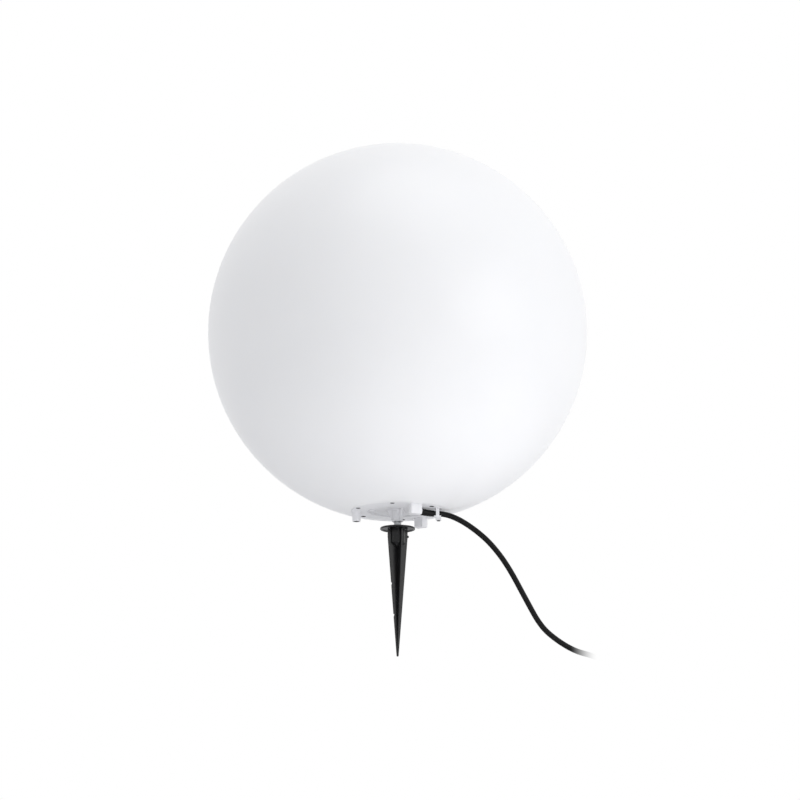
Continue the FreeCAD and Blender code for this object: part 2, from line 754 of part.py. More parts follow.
def coil_point(turn):
    """Centre line of the coil after some turns: in on the lower layer, out on the upper one.

    The radius falls by one pitch a turn to the inner radius and grows again at the same rate.
    The half turn round the reversal climbs to the upper layer.
    """
    climb = min(max((turn - coil_turns + 0.25) / 0.5, 0), 1)
    radius = coil_outer - coil_pitch * min(turn, 2 * coil_turns - turn)
    angle = math.radians(90 + 360 * turn)
    height = coil_z + coil_pitch * climb * climb * (3 - 2 * climb)
    return V(coil_centre[0] + radius * math.cos(angle), coil_centre[1] + radius * math.sin(angle), height)


def coil_path():
    """Biarcs through a point of the coil every quarter turn, with a straight diameter at each end."""
    whole = 2 * coil_turns
    count = round(whole * 4)
    tiny = 1e-4
    places, headings = [], []
    for i in range(count + 1):
        turn = whole * i / count
        ahead, behind = coil_point(min(turn + tiny, whole)), coil_point(max(turn - tiny, 0))
        heading = ahead - behind
        heading.normalize()
        places.append(coil_point(turn))
        headings.append(heading)
    headings[0], headings[-1] = V(-1, 0, 0), V(-1, 0, 0)
    edges = [Part.LineSegment(places[0] - headings[0] * cord_d, places[0]).toShape()]
    for a, ta, b, tb in zip(places, headings, places[1:], headings[1:]):
        edges += biarc(a, ta, b, tb)
    edges.append(Part.LineSegment(places[-1], places[-1] + headings[-1] * cord_d).toShape())
    return Part.Wire(edges)


def biarc(a, ta, b, tb):
    """Two arcs that leave a along ta, meet smoothly and arrive at b along tb."""
    across, sum_t = b - a, ta + tb
    spread = 2 * (1 - ta.dot(tb))
    reach = (-across.dot(sum_t) + math.sqrt(across.dot(sum_t) ** 2 + spread * across.dot(across))) / spread
    first, second = a + ta * reach, b - tb * reach
    join = (first + second) * 0.5
    return [arc_by_tangents(a, first, join), arc_by_tangents(join, second, b)]


def arc_by_tangents(start, corner, end):
    """The arc from start to end whose end tangents meet at corner."""
    chord_mid = (start + end) * 0.5
    half = (end - start).Length / 2
    side = (corner - start).Length
    rise = (corner - chord_mid).Length
    bulge = half * (side - half) / rise
    toward = corner - chord_mid
    toward.normalize()
    return Part.Arc(start, chord_mid + toward * bulge, end).toShape()


def coil_gap(path):
    """Least gap between the coil's surface and itself, measured on points along its centre line."""
    step = 2.0
    points = path.discretize(Distance=step)
    skip = int(cord_d * 6 / step)
    least = min((points[i] - points[j]).Length for i in range(0, len(points), 2)
                for j in range(i + skip, len(points)))
    return least - cord_d


def coil_ties():
    """Two flat ties round the bundle of turns."""
    low = coil_z - cord_r - tie_gap
    high = coil_z + coil_pitch + cord_r + tie_gap
    near, far = coil_inner - cord_r - 1.0, coil_outer + cord_r + 1.0
    outer = Part.makeBox(far - near + 2 * tie_t, tie_w, high - low + 2 * tie_t,
                         V(coil_centre[0] + near - tie_t, coil_centre[1] - tie_w / 2, low - tie_t))
    inner = Part.makeBox(far - near, tie_w + 2, high - low, V(coil_centre[0] + near,
                                                              coil_centre[1] - tie_w / 2 - 1, low))
    band = outer.cut(inner)
    return [turned(band, angle, *coil_centre) for angle in tie_angles]


def along_plug(profile):
    """A turned piece on the plug's axis; the profile gives (radius, distance from the cord side)."""
    piece = lathe(profile)
    piece.rotate(V(0, 0, 0), V(0, 1, 0), -90)
    piece.translate(V(*plug_at))
    return piece


def plug_body():
    """Round moulded plug with a waist, two flats for the earth contacts and an earth hole."""
    neck = plug_length - plug_nose
    body = along_plug([(0, 0), (plug_back_r, 0), (plug_grip_r, 6), (plug_grip_r - 1, neck - 8),
                       (plug_r - 1, neck), (plug_r, neck + 2), (plug_r, plug_length - 1),
                       (plug_r - 1, plug_length), (0, plug_length)])
    cuts = []
    for side in (-1, 1):
        y = plug_at[1] + side * pin_spacing / 2
        cuts.append(Part.makeCylinder(pin_r, pin_root + 2, V(plug_face_x + pin_root + 1, y, plug_at[2]),
                                      V(-1, 0, 0)))
        low = earth_low(side) - (2 if side < 0 else 0)
        cuts.append(Part.makeBox(plug_nose, earth_w, earth_t + 2,
                                 V(plug_face_x - 1, plug_at[1] - earth_w / 2, low)))
    earth_hole = V(plug_face_x + 13, plug_at[1], plug_at[2] + earth_hole_up)
    cuts.append(Part.makeCylinder(earth_hole_r, 14, earth_hole, V(-1, 0, 0)))
    return body.cut(Part.makeCompound(cuts))


def earth_low(side):
    """Lower face of the earth contact in the plug's upper or lower side."""
    return plug_at[2] + side * (plug_r - earth_t - earth_inset) - (earth_t if side < 0 else 0)


def plug_pins():
    """Two round pins with domed ends."""
    pins = []
    for side in (-1, 1):
        y = plug_at[1] + side * pin_spacing / 2
        root = V(plug_face_x + pin_root, y, plug_at[2])
        shaft = Part.makeCylinder(pin_r, pin_length + pin_root - pin_r, root, V(-1, 0, 0))
        pins.append(fuse(shaft, Part.makeSphere(pin_r, V(plug_face_x - pin_length + pin_r, y, plug_at[2]))))
    return pins


def plug_earth_contacts():
    """Two flat strips in the plug's sides."""
    return [Part.makeBox(plug_nose - 1.2, earth_w - 0.4, earth_t,
                         V(plug_face_x, plug_at[1] - earth_w / 2 + 0.2, earth_low(side))) for side in (-1, 1)]


def plug_boot():
    """Ribbed, tapered strain relief round the cord behind the plug."""
    ribs = 4
    rib_step = (boot_length - 6) / ribs
    outline = [(cord_r, 0), (boot_r + 1.6, 0)]
    for i in range(ribs):
        r = boot_r - 0.45 * i
        outline += [(r, -3 - rib_step * i), (r, -3 - rib_step * (i + 0.55)),
                    (r - 1.0, -3 - rib_step * (i + 0.6)), (r - 1.0, -3 - rib_step * (i + 0.95))]
    outline += [(boot_r - 1.5, -boot_length + 2.5), (cord_r + 0.5, -boot_length), (cord_r, -boot_length)]
    return along_plug(outline)


# ---- Cord clip --------------------------------------------------------------------------------
def cord_clip():
    """Strap from the plate down in front of the lead, and a tongue back under it to its post."""
    back_x, back_y = clip_post_at
    rear, level = back_y + clip_post_r, clip_post_z
    front = back_y - 1.6 * clip_post_r
    outer = [(clip_front_y, plate_z), (clip_front_y, clip_knee_z - 0.5 * clip_t), (front, level - clip_t),
             (rear, level - clip_t), (rear, level), (front + 0.5, level),
             (clip_front_y + clip_t, clip_knee_z), (clip_front_y + clip_t, plate_z)]
    corners = [V(clip_x - clip_tongue_w, y, z) for y, z in outer + outer[:1]]
    sheet = Part.Face(Part.makePolygon(corners)).extrude(V(2 * clip_tongue_w, 0, 0))
    half, end = clip_tongue_w / 2, clip_tongue_end / 2
    strap = Part.makeBox(clip_w, 2 * clip_t, 2 * clip_knee_drop,
                         V(clip_x - clip_w / 2, clip_front_y - clip_t / 2, plate_z - 2 * clip_knee_drop))
    tongue = prism([(clip_x - half, clip_front_y - 0.5), (clip_x + half, clip_front_y - 0.5),
                    (back_x + end, back_y), (back_x - end, back_y)], level - 5, clip_knee_z + 1.2)
    eye = rod(clip_post_r, level - 5, level + 1, *clip_post_at)
    shape = sheet.common(fuse(strap, tongue, eye))
    return shape.cut(rod(clip_hole_r + bore_fit, level - 5, level + 5, *clip_post_at))


def cord_clip_screw():
    """Small screw through the clip's tongue into its post."""
    low = clip_post_z - clip_t
    head = rod(clip_head_r, low - clip_head_h, low, *clip_post_at)
    shank = rod(clip_hole_r - bore_fit, low - clip_head_h, clip_post_z + clip_post_bore - 1, *clip_post_at)
    slot = Part.makeBox(1.5 * clip_head_r, slot_w, clip_head_h,
                        V(clip_post_at[0] - 0.75 * clip_head_r, clip_post_at[1] - slot_w / 2,
                          low - 1.5 * clip_head_h))
    return fuse(head, shank).cut(slot)


# ---- Build ------------------------------------------------------------------------------------
def make_support():
    """Spike, stud, base plate and what screws them together."""
    save("ground_spike", ground_spike())
    save("spike_washer", ring(washer_r, stud_r + turn_fit, disc_top, disc_top + washer_t))
    save("spike_stud", lathe([(0, stud_low), (stud_r - stud_bevel, stud_low), (stud_r, stud_low + stud_bevel),
                              (stud_r, stud_high - stud_bevel), (stud_r - stud_bevel, stud_high),
                              (0, stud_high)]))
    save("stud_washer", ring(washer_r, stud_r + bore_fit, floor_top, floor_top + washer_t))
    save("earth_tag", earth_tag())
    save("stud_nut", hexagon(nut_across, nut_z, nut_z + nut_h).cut(rod(stud_r, nut_z - 1, nut_z + nut_h + 1)))
    save("base_plate", base_plate())
    save("plate_screws", *plate_screws())
    gasket_in = upstand_r + gasket_play
    save("neck_gasket", ring(gasket_in + gasket_w, gasket_in, plate_top, flange_z))
    save("cord_clip", cord_clip())
    save("cord_clip_screw", cord_clip_screw())


def make_globe():
    """The globe by itself."""
    save("globe_shell", globe_shell())


def make_holder():
    """Lamp holder on its bracket."""
    save("holder_bracket", holder_bracket())
    save("bracket_screws", *bracket_screws())
    nipple_low = bridge_z - nipple_nut_h - 1
    nipple_high = bridge_top + 8
    save("holder_nipple", ring(nipple_r, nipple_bore, nipple_low, nipple_high))
    nut = hexagon(nipple_nut_across, bridge_z - nipple_nut_h, bridge_z)
    save("nipple_nut", nut.cut(rod(nipple_r, bridge_z - 9, bridge_z + 1)))
    save("holder_cap", holder_cap())
    save("holder_sleeve", holder_sleeve())
    save("holder_insert", rod(shell_r, holder_z, holder_z + insert_t))
    save("screw_shell", ring(shell_r, shell_r - shell_t, shell_z, shell_z + shell_h))
    save("centre_contact", centre_contact())


def make_bulb():
    """Screw-cap bulb."""
    step_z = bulb_cap_z + 2
    cap = fuse(rod(bulb_cap_r - 3.5, bulb_cap_z, step_z), rod(bulb_cap_r, step_z, bulb_body_z))
    save("bulb_contact", rod(contact_r, bulb_z, bulb_cap_z))
    save("bulb_cap", cap)
    save("bulb_body", bulb_body())
    save("led_board", led_board())
    save("bulb_diffuser", bulb_diffuser())


def make_wiring():
    """Terminal block, its screws and the wires."""
    save("terminal_block", terminal_block())
    save("terminal_screws", *terminal_screws())
    save("cord_inner", cord_tube("cord_inner", duct_route(), cord_d, duct_bend))
    for index, node in enumerate(("core_neutral", "core_earth", "core_live")):
        save(node, cord_tube(node, core(index), 2 * core_r, core_bend))
    save("earth_link", cord_tube("earth_link", earth_link(), 2 * core_r, core_bend))
    save("lead_neutral", cord_tube("lead_neutral", lead(-1), 2 * core_r, core_bend))
    save("lead_live", cord_tube("lead_live", lead(1), 2 * core_r, core_bend))


def make_lead():
    """Sleeve, free lead, coil, ties and plug."""
    save("cord_sleeve", sleeve())
    save("cord_free", cord_tube("cord_free", cord_route, cord_d))
    path = coil_path()
    coil = swept(path, cord_r)
    print(f"coil: length {path.Length:.1f}, volume ratio "
          f"{coil.Volume / (math.pi * cord_r ** 2 * path.Length):.4f}, least gap {coil_gap(path):.2f}, "
          f"inner radius {coil_inner:.1f}")
    save("cord_coil", coil)
    save("cord_tail", cord_tube("cord_tail", tail_route, cord_d))
    save("coil_ties", *coil_ties())
    save("plug_body", plug_body())
    save("plug_boot", plug_boot())
    save("plug_pins", *plug_pins())
    save("plug_earth_contacts", *plug_earth_contacts())


os.makedirs("parts", exist_ok=True)
make_support()
make_globe()
make_holder()
make_bulb()
make_wiring()
make_lead()
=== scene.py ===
import json
import logging
import math
from dataclasses import dataclass, field
from enum import Enum
from typing import Sequence

import bmesh
import bpy
import numpy as np
from mathutils import Matrix, Vector


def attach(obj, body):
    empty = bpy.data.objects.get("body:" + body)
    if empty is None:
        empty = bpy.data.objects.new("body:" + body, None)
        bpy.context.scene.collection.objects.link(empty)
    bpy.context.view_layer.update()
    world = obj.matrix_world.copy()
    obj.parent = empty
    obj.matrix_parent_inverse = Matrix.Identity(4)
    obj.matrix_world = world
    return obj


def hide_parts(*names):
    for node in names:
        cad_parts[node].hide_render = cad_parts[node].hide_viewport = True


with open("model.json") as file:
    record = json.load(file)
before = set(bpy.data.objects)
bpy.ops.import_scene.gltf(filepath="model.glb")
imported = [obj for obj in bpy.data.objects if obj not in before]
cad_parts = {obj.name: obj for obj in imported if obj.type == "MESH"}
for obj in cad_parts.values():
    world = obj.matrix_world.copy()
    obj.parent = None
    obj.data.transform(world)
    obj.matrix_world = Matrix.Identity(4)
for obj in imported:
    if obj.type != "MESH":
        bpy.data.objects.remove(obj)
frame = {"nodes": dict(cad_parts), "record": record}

log = logging.getLogger("globe_light")
Array = np.ndarray
Piece = bpy.types.Object
Tree = bpy.types.NodeTree
Socket = bpy.types.NodeSocket
MM = 0.001
TAU = 2 * math.pi
UPRIGHT = Matrix.Rotation(math.pi / 2, 4, "X")  # lifts a plan outline, so that its Y becomes height
ARC_STEPS = 5  # points on a rounding, unless more are asked for
SHARP = 35.0  # edges sharper than this stay sharp, in degrees
SEAM = 0.000002  # points nearer to each other than this become one, in metres
PLATE_LOW = 194.5  # underside of the base plate, level with the globe's cut, in millimetres


# ---- Mesh tools -------------------------------------------------------------------------------
def polar(radius: float, degrees: float) -> tuple[float, float]:
    """X and Y of the point at a radius and at an angle from +X towards +Y."""
    turn = math.radians(degrees)
    return radius * math.cos(turn), radius * math.sin(turn)


@dataclass(frozen=True)
class ScrewRing:
    """The ring of screws that hold the globe and its base plate together.

    Args:
        radius: of the ring, in millimetres.
        turn: direction of the first screw, in degrees.
        count: number of screws.
    """

    radius: float = 56.3
    turn: float = 23.0
    count: int = 6

    def places(self) -> list[tuple[float, float]]:
        """Plan places of the screws."""
        return [polar(self.radius, self.turn + 360 / self.count * i) for i in range(self.count)]


def grid_faces(rows: int, columns: int, wrap_rows: bool, wrap_columns: bool) -> Array:
    """Quads between the points of a grid, as index rows.

    Args:
        rows: number of grid rows.
        columns: number of grid columns.
        wrap_rows: join the last row to the first.
        wrap_columns: join the last column to the first.

    Returns:
        An array of four indices a face.
    """
    i = np.arange(rows if wrap_rows else rows - 1)[:, None]
    j = np.arange(columns if wrap_columns else columns - 1)[None, :]
    ni, nj = (i + 1) % rows, (j + 1) % columns
    corners = (i * columns + j, i * columns + nj, ni * columns + nj, ni * columns + j)
    return np.stack(np.broadcast_arrays(*corners), axis=-1).reshape(-1, 4)


def inset(outline: Array, depth: float) -> Array:
    """A closed outline moved inwards.

    Each corner moves along the mean of its two edge normals n1 and n2, by depth / cos of half their
    angle, which keeps the edges parallel.

    Args:
        outline: corners in counter-clockwise order.
        depth: how far to move.

    Returns:
        The moved outline.
    """
    edge = np.roll(outline, -1, axis=0) - outline
    edge = edge / np.linalg.norm(edge, axis=1, keepdims=True)
    normal = np.stack((-edge[:, 1], edge[:, 0]), axis=-1)
    both = normal + np.roll(normal, 1, axis=0)
    return outline + depth * 2 * both / (both ** 2).sum(axis=1, keepdims=True)


def path_frames(path: Array) -> tuple[Array, Array]:
    """Two unit vectors across a path at each of its points, turned as little as possible.

    Args:
        path: the points of the path.

    Returns:
        The two arrays of vectors.
    """
    along = np.gradient(path, axis=0)
    along = along / np.linalg.norm(along, axis=1, keepdims=True)
    aside = (0.0, 0.31, 0.95)  # a direction in which no path starts
    side = [np.cross(along[0], aside)]
    for heading in along:
        turned = side[-1] - heading * (side[-1] @ heading)
        side.append(turned / np.linalg.norm(turned))
    across = np.array(side[1:])
    return across, np.cross(along, across)


@dataclass(frozen=True)
class Thread:
    """The form of a screw thread.

    Args:
        radius: at the crest, in millimetres.
        depth: from crest to root.
        pitch: height of one turn.
        knuckle: round like a lamp cap's thread, and not straight-sided.
        rows: rows of points for each turn.
    """

    radius: float
    depth: float
    pitch: float
    knuckle: bool = False
    rows: int = 10

    def radius_at(self, turns: Array) -> Array:
        """The radius at a share of a turn from the crest's middle.

        A round thread follows a cosine. A straight-sided one is flat on its crest and on its root,
        with straight flanks between the two shares at which these end.

        Args:
            turns: places along the thread, counted in turns.

        Returns:
            The radii there, in millimetres.
        """
        share = np.mod(turns, 1)
        if self.knuckle:
            height = 0.5 + 0.5 * np.cos(TAU * share)
        else:
            crest, root = 0.06, 0.375
            height = np.interp(share, (0, crest, root, 1 - root, 1 - crest, 1), (1, 1, 0, 0, 1, 1))
        return self.radius - self.depth * (1 - height)


@dataclass
class Shell:
    """Points and faces of one piece, gathered before they become a mesh.

    Args:
        points: the vertices so far, in millimetres.
        faces: the faces so far, as index lists.
        count: how many vertices there are so far.
    """

    points: list[Array] = field(default_factory=list)
    faces: list[Sequence[int]] = field(default_factory=list)
    count: int = 0

    def add(self, points: Array, faces: Sequence[Sequence[int]]) -> "Shell":
        """Adds vertices and the faces between them.

        Args:
            points: an array of places, in millimetres.
            faces: faces that count from the first of these points.

        Returns:
            The shell itself.
        """
        places = np.asarray(points, float).reshape(-1, 3)
        self.points.append(places)
        self.faces += [[int(k) + self.count for k in face] for face in faces]
        self.count += len(places)
        return self

    def grid(self, points: Array, wrap_rows: bool = False, wrap_columns: bool = True,
             caps: bool = False) -> "Shell":
        """Adds a grid of points as quads.

        Args:
            points: rows of places, in millimetres.
            wrap_rows: join the last row to the first.
            wrap_columns: join the last column to the first.
            caps: close the first and the last row with one face each.

        Returns:
            The shell itself.
        """
        rows, columns = points.shape[:2]
        faces = [list(f) for f in grid_faces(rows, columns, wrap_rows, wrap_columns)]
        if caps:
            faces.append(list(range(columns))[::-1])
            faces.append([(rows - 1) * columns + j for j in range(columns)])
        return self.add(points, faces)

    def lathe(self, profile: Sequence[tuple[float, float]], steps: int = 96, closed: bool = True,
              centre: tuple[float, float] = (0.0, 0.0)) -> "Shell":
        """Adds a turned form: each (radius, height) of the profile goes round a circle.

        The point at angle a is (radius * cos a, radius * sin a, height) from the centre.

        Args:
            profile: radius and height of each point, in order.
            steps: columns round the circle.
            closed: whether the profile's last point joins its first.
            centre: plan place of the circle.

        Returns:
            The shell itself.
        """
        outline = np.array(profile, float)
        turn = np.linspace(0, TAU, steps, endpoint=False)
        x = centre[0] + outline[:, :1] * np.cos(turn)
        y = centre[1] + outline[:, :1] * np.sin(turn)
        z = np.repeat(outline[:, 1:], steps, axis=1)
        return self.grid(np.stack((x, y, z), axis=-1), wrap_rows=closed)

    def prism(self, outline: Array, low: float, high: float, edge: float = 0.0,
              flare: float = 0.0) -> "Shell":
        """Adds an upright block of a plan outline with rounded edges, or flared at its upper end.

        Along each rounding the outline is inset by edge * (1 - sin a) while its height is
        edge * (1 - cos a) from the end face, for a from zero to a right angle. The flare is such an
        arc turned outwards.

        Args:
            outline: corners in counter-clockwise order.
            low: level of the lower end.
            high: level of the upper end.
            edge: radius of the rounded edges.
            flare: radius of the arc at the upper end, or 0 for a rounded edge there.

        Returns:
            The shell itself.
        """
        arc = np.linspace(0, math.pi / 2, ARC_STEPS)
        bend = arc if edge else arc[-1:]
        depth, rise = edge * (1 - np.sin(bend)), edge * (1 - np.cos(bend))
        if flare:
            top, levels = -flare * (1 - np.cos(arc)), high - flare * (1 - np.sin(arc))
        else:
            top, levels = depth[::-1], high - rise[::-1]
        rows = [np.column_stack((inset(outline, d), np.full(len(outline), z)))
                for d, z in zip(np.concatenate((depth, top)), np.concatenate((low + rise, levels)))]
        return self.grid(np.array(rows), caps=True)

    def tube(self, path: Array, radius: float | Array, bore: float = 0.0, steps: int = 32) -> "Shell":
        """Adds a round bar or pipe along a path; the radius may change from point to point.

        The point at angle a is path + radius * (cos a * across + sin a * up), where across and up
        are the path's two cross vectors.

        Args:
            path: points of the centre line.
            radius: outer radius, one for all points or one each.
            bore: radius of the bore, or 0 for a bar.
            steps: columns round the circle.

        Returns:
            The shell itself.
        """
        across, up = path_frames(path)
        turn = np.linspace(0, TAU, steps, endpoint=False)[None, :, None]
        round_it = np.cos(turn) * across[:, None] + np.sin(turn) * up[:, None]
        reach = np.broadcast_to(np.asarray(radius, float), len(path))[:, None, None]
        outside = path[:, None] + reach * round_it
        if not bore:
            return self.grid(outside, caps=True)
        inside = path[:, None] + bore * round_it
        return self.grid(np.concatenate((outside, inside[::-1])), wrap_rows=True)

    def thread(self, form: Thread, low: float, high: float, wall: float = 0.0, bevel: float = 0.0,
               steps: int = 48) -> "Shell":
        """Adds a right-handed thread on the axis: a bar, or a pressed sheet of a wall thickness.

        The radius at height z and angle a is that of the thread at z / pitch - a / TAU, and never
        more than the bevels at both ends allow.

        Args:
            form: the thread.
            low: level of the lower end.
            high: level of the upper end.
            wall: thickness of the sheet, or 0 for a bar.
            bevel: height of the bevels.
            steps: columns round the circle.

        Returns:
            The shell itself.
        """
        z = np.linspace(low, high, round((high - low) / form.pitch * form.rows) + 1)[:, None]
        a = np.linspace(0, TAU, steps, endpoint=False)[None, :]
        radius = form.radius_at(z / form.pitch - a / TAU)
        if bevel:
            radius = np.minimum(radius, form.radius - bevel + np.minimum(z - low, high - z))
        rows = np.stack((radius * np.cos(a), radius * np.sin(a), np.broadcast_to(z, radius.shape)), axis=-1)
        if not wall:
            return self.grid(rows, caps=True)
        shrink = np.stack(np.broadcast_arrays(1 - wall / radius, 1 - wall / radius, 1.0), axis=-1)
        return self.grid(np.concatenate((rows, (rows * shrink)[::-1])), wrap_rows=True)

    def placed(self, matrix: Matrix) -> "Shell":
        """Moves everything so far by a matrix.

        Args:
            matrix: the move or turn.

        Returns:
            The shell itself.
        """
        m = np.array(matrix)
        self.points = [p @ m[:3, :3].T + m[:3, 3] for p in self.points]
        return self

    def turned(self, degrees: float) -> "Shell":
        """Turns everything so far about the lamp's axis."""
        return self.placed(Matrix.Rotation(math.radians(degrees), 4, "Z"))

    def merge(self, other: "Shell") -> "Shell":
        """Adds another shell's points and faces."""
        return self.add(np.concatenate(other.points), other.faces)

    def to_object(self, name: str, smooth_angle: float = SHARP) -> Piece:
        """Makes the Blender object, in metres, with closed seams and faces that point outwards.

        Args:
            name: the piece's name.
            smooth_angle: edges sharper than this stay sharp, in degrees.

        Returns:
            The linked object at the origin.
        """
        mesh = bpy.data.meshes.new(name)
        mesh.from_pydata((np.concatenate(self.points) * MM).tolist(), [], self.faces)
        work = bmesh.new()
        work.from_mesh(mesh)
        bmesh.ops.remove_doubles(work, verts=work.verts, dist=SEAM)
        bmesh.ops.recalc_face_normals(work, faces=work.faces)
        work.to_mesh(mesh)
        work.free()
        return shaded(linked(name, mesh), smooth_angle)


def linked(name: str, data: bpy.types.ID) -> Piece:
    """Makes an object of its data and puts it into the scene.

    Args:
        name: the object's name.
        data: its mesh, curve, light or camera.

    Returns:
        The object.
    """
    made = bpy.data.objects.new(name, data)
    bpy.context.scene.collection.objects.link(made)
    return made


def shaded(piece: Piece, smooth_angle: float = SHARP) -> Piece:
    """Smooth shading over roundings, with flat faces left flat.

    Args:
        piece: what is shaded.
        smooth_angle: edges sharper than this stay sharp, in degrees.

    Returns:
        The piece.
    """
    piece.data.shade_smooth()
    piece.data.set_sharp_from_angle(angle=math.radians(smooth_angle))
    even = piece.modifiers.new("even", "WEIGHTED_NORMAL")
    even.keep_sharp = True
    return settled(piece)


def settled(piece: Piece) -> Piece:
    """Writes a piece's modifiers into its mesh.

    Args:
        piece: the piece with its modifiers.

    Returns:
        The piece, with a new mesh.
    """
    graph = bpy.context.evaluated_depsgraph_get()
    mesh = bpy.data.meshes.new_from_object(piece.evaluated_get(graph))
    piece.modifiers.clear()
    piece.data = mesh
    return piece


def rounded(corners: Sequence[Sequence[float]], steps: int = ARC_STEPS, closed: bool = True) -> Array:
    """An outline or path whose corners are arcs.

    A corner with a half angle h between its two edges gets an arc of the given radius that leaves
    each edge at radius / tan h from the corner.

    Args:
        corners: coordinates and, last, the radius of each corner, in order.
        steps: points on each arc.
        closed: whether the last corner joins the first.

    Returns:
        The points.
    """
    here = np.array([c[:-1] for c in corners], float)
    before, after = np.roll(here, 1, axis=0), np.roll(here, -1, axis=0)
    out = []
    for k, (p, a, b) in enumerate(zip(here, before, after)):
        radius = corners[k][-1]
        if radius <= 0 or not closed and k in (0, len(here) - 1):
            out.append(p[None])
            continue
        u, v = (a - p) / np.linalg.norm(a - p), (b - p) / np.linalg.norm(b - p)
        half = math.acos(np.clip(u @ v, -1, 1)) / 2
        reach = radius / math.tan(half)
        centre = p + (u + v) / np.linalg.norm(u + v) * radius / math.sin(half)
        start, end = p + u * reach - centre, p + v * reach - centre
        t = np.linspace(0, 1, steps)[:, None]
        swing = math.pi - 2 * half
        out.append(centre + (np.sin((1 - t) * swing) * start + np.sin(t * swing) * end) / math.sin(swing))
    return np.concatenate(out)


def cut_out(piece: Piece, cutters: Sequence[Piece]) -> Piece:
    """Cuts closed forms out of a piece and removes them.

    Args:
        piece: what is cut.
        cutters: the forms to cut out.

    Returns:
        The piece.
    """
    for cutter in cutters:
        step = piece.modifiers.new("cut", "BOOLEAN")
        step.object = cutter
        step.solver = "EXACT"
    settled(piece)
    for cutter in cutters:
        bpy.data.objects.remove(cutter)
    return piece


def joined(name: str, parts: Sequence[Piece]) -> Piece:
    """One piece from several, which are removed.

    Args:
        name: name of the whole.
        parts: the pieces to join.

    Returns:
        The whole.
    """
    work = bmesh.new()
    for part in parts:
        work.from_mesh(part.data)
        bpy.data.objects.remove(part)
    mesh = bpy.data.meshes.new(name)
    work.to_mesh(mesh)
    work.free()
    return shaded(linked(name, mesh))


# ---- Shader nodes -----------------------------------------------------------------------------
def feed(tree: Tree, node: bpy.types.Node, inputs: dict[str | int, object]) -> bpy.types.Node:
    """Sets inputs of a node.

    Args:
        tree: the nodes of a material or of the world.
        node: the node.
        inputs: for each input, by name or number, its value or the output that feeds it.

    Returns:
        The node.
    """
    for key, source in inputs.items():
        if isinstance(source, Socket):
            tree.links.new(source, node.inputs[key])
        else:
            node.inputs[key].default_value = source
    return node


def add_node(tree: Tree, kind: str, inputs: dict[str | int, object],
             **options: str) -> bpy.types.Node:
    """Adds a node.

    Args:
        tree: the nodes of a material or of the world.
        kind: the node's type.
        inputs: its inputs, as for feed().
        options: its options, by name.

    Returns:
        The node.
    """
    node = tree.nodes.new(kind)
    for option, choice in options.items():
        setattr(node, option, choice)
    return feed(tree, node, inputs)


def smooth_share(tree: Tree, value: Socket, limits: tuple[float, float]) -> Socket:
    """A share that rises smoothly from zero at the lower limit of a value to one at the upper."""
    inputs = {"Value": value, "From Min": limits[0], "From Max": limits[1]}
    return add_node(tree, "ShaderNodeMapRange", inputs, interpolation_type="SMOOTHSTEP").outputs["Result"]


def mixed(tree: Tree, share: Socket, first: Socket, second: Socket) -> Socket:
    """The first shader where the share is zero and the second where it is one."""
    return add_node(tree, "ShaderNodeMixShader", {0: share, 1: first, 2: second}).outputs["Shader"]


# ---- Finishes ---------------------------------------------------------------------------------
class Noise(Enum):
    """The patterns that a finish can be broken up with."""

    GRAIN = "ShaderNodeTexNoise"
    CELLS = "ShaderNodeTexVoronoi"


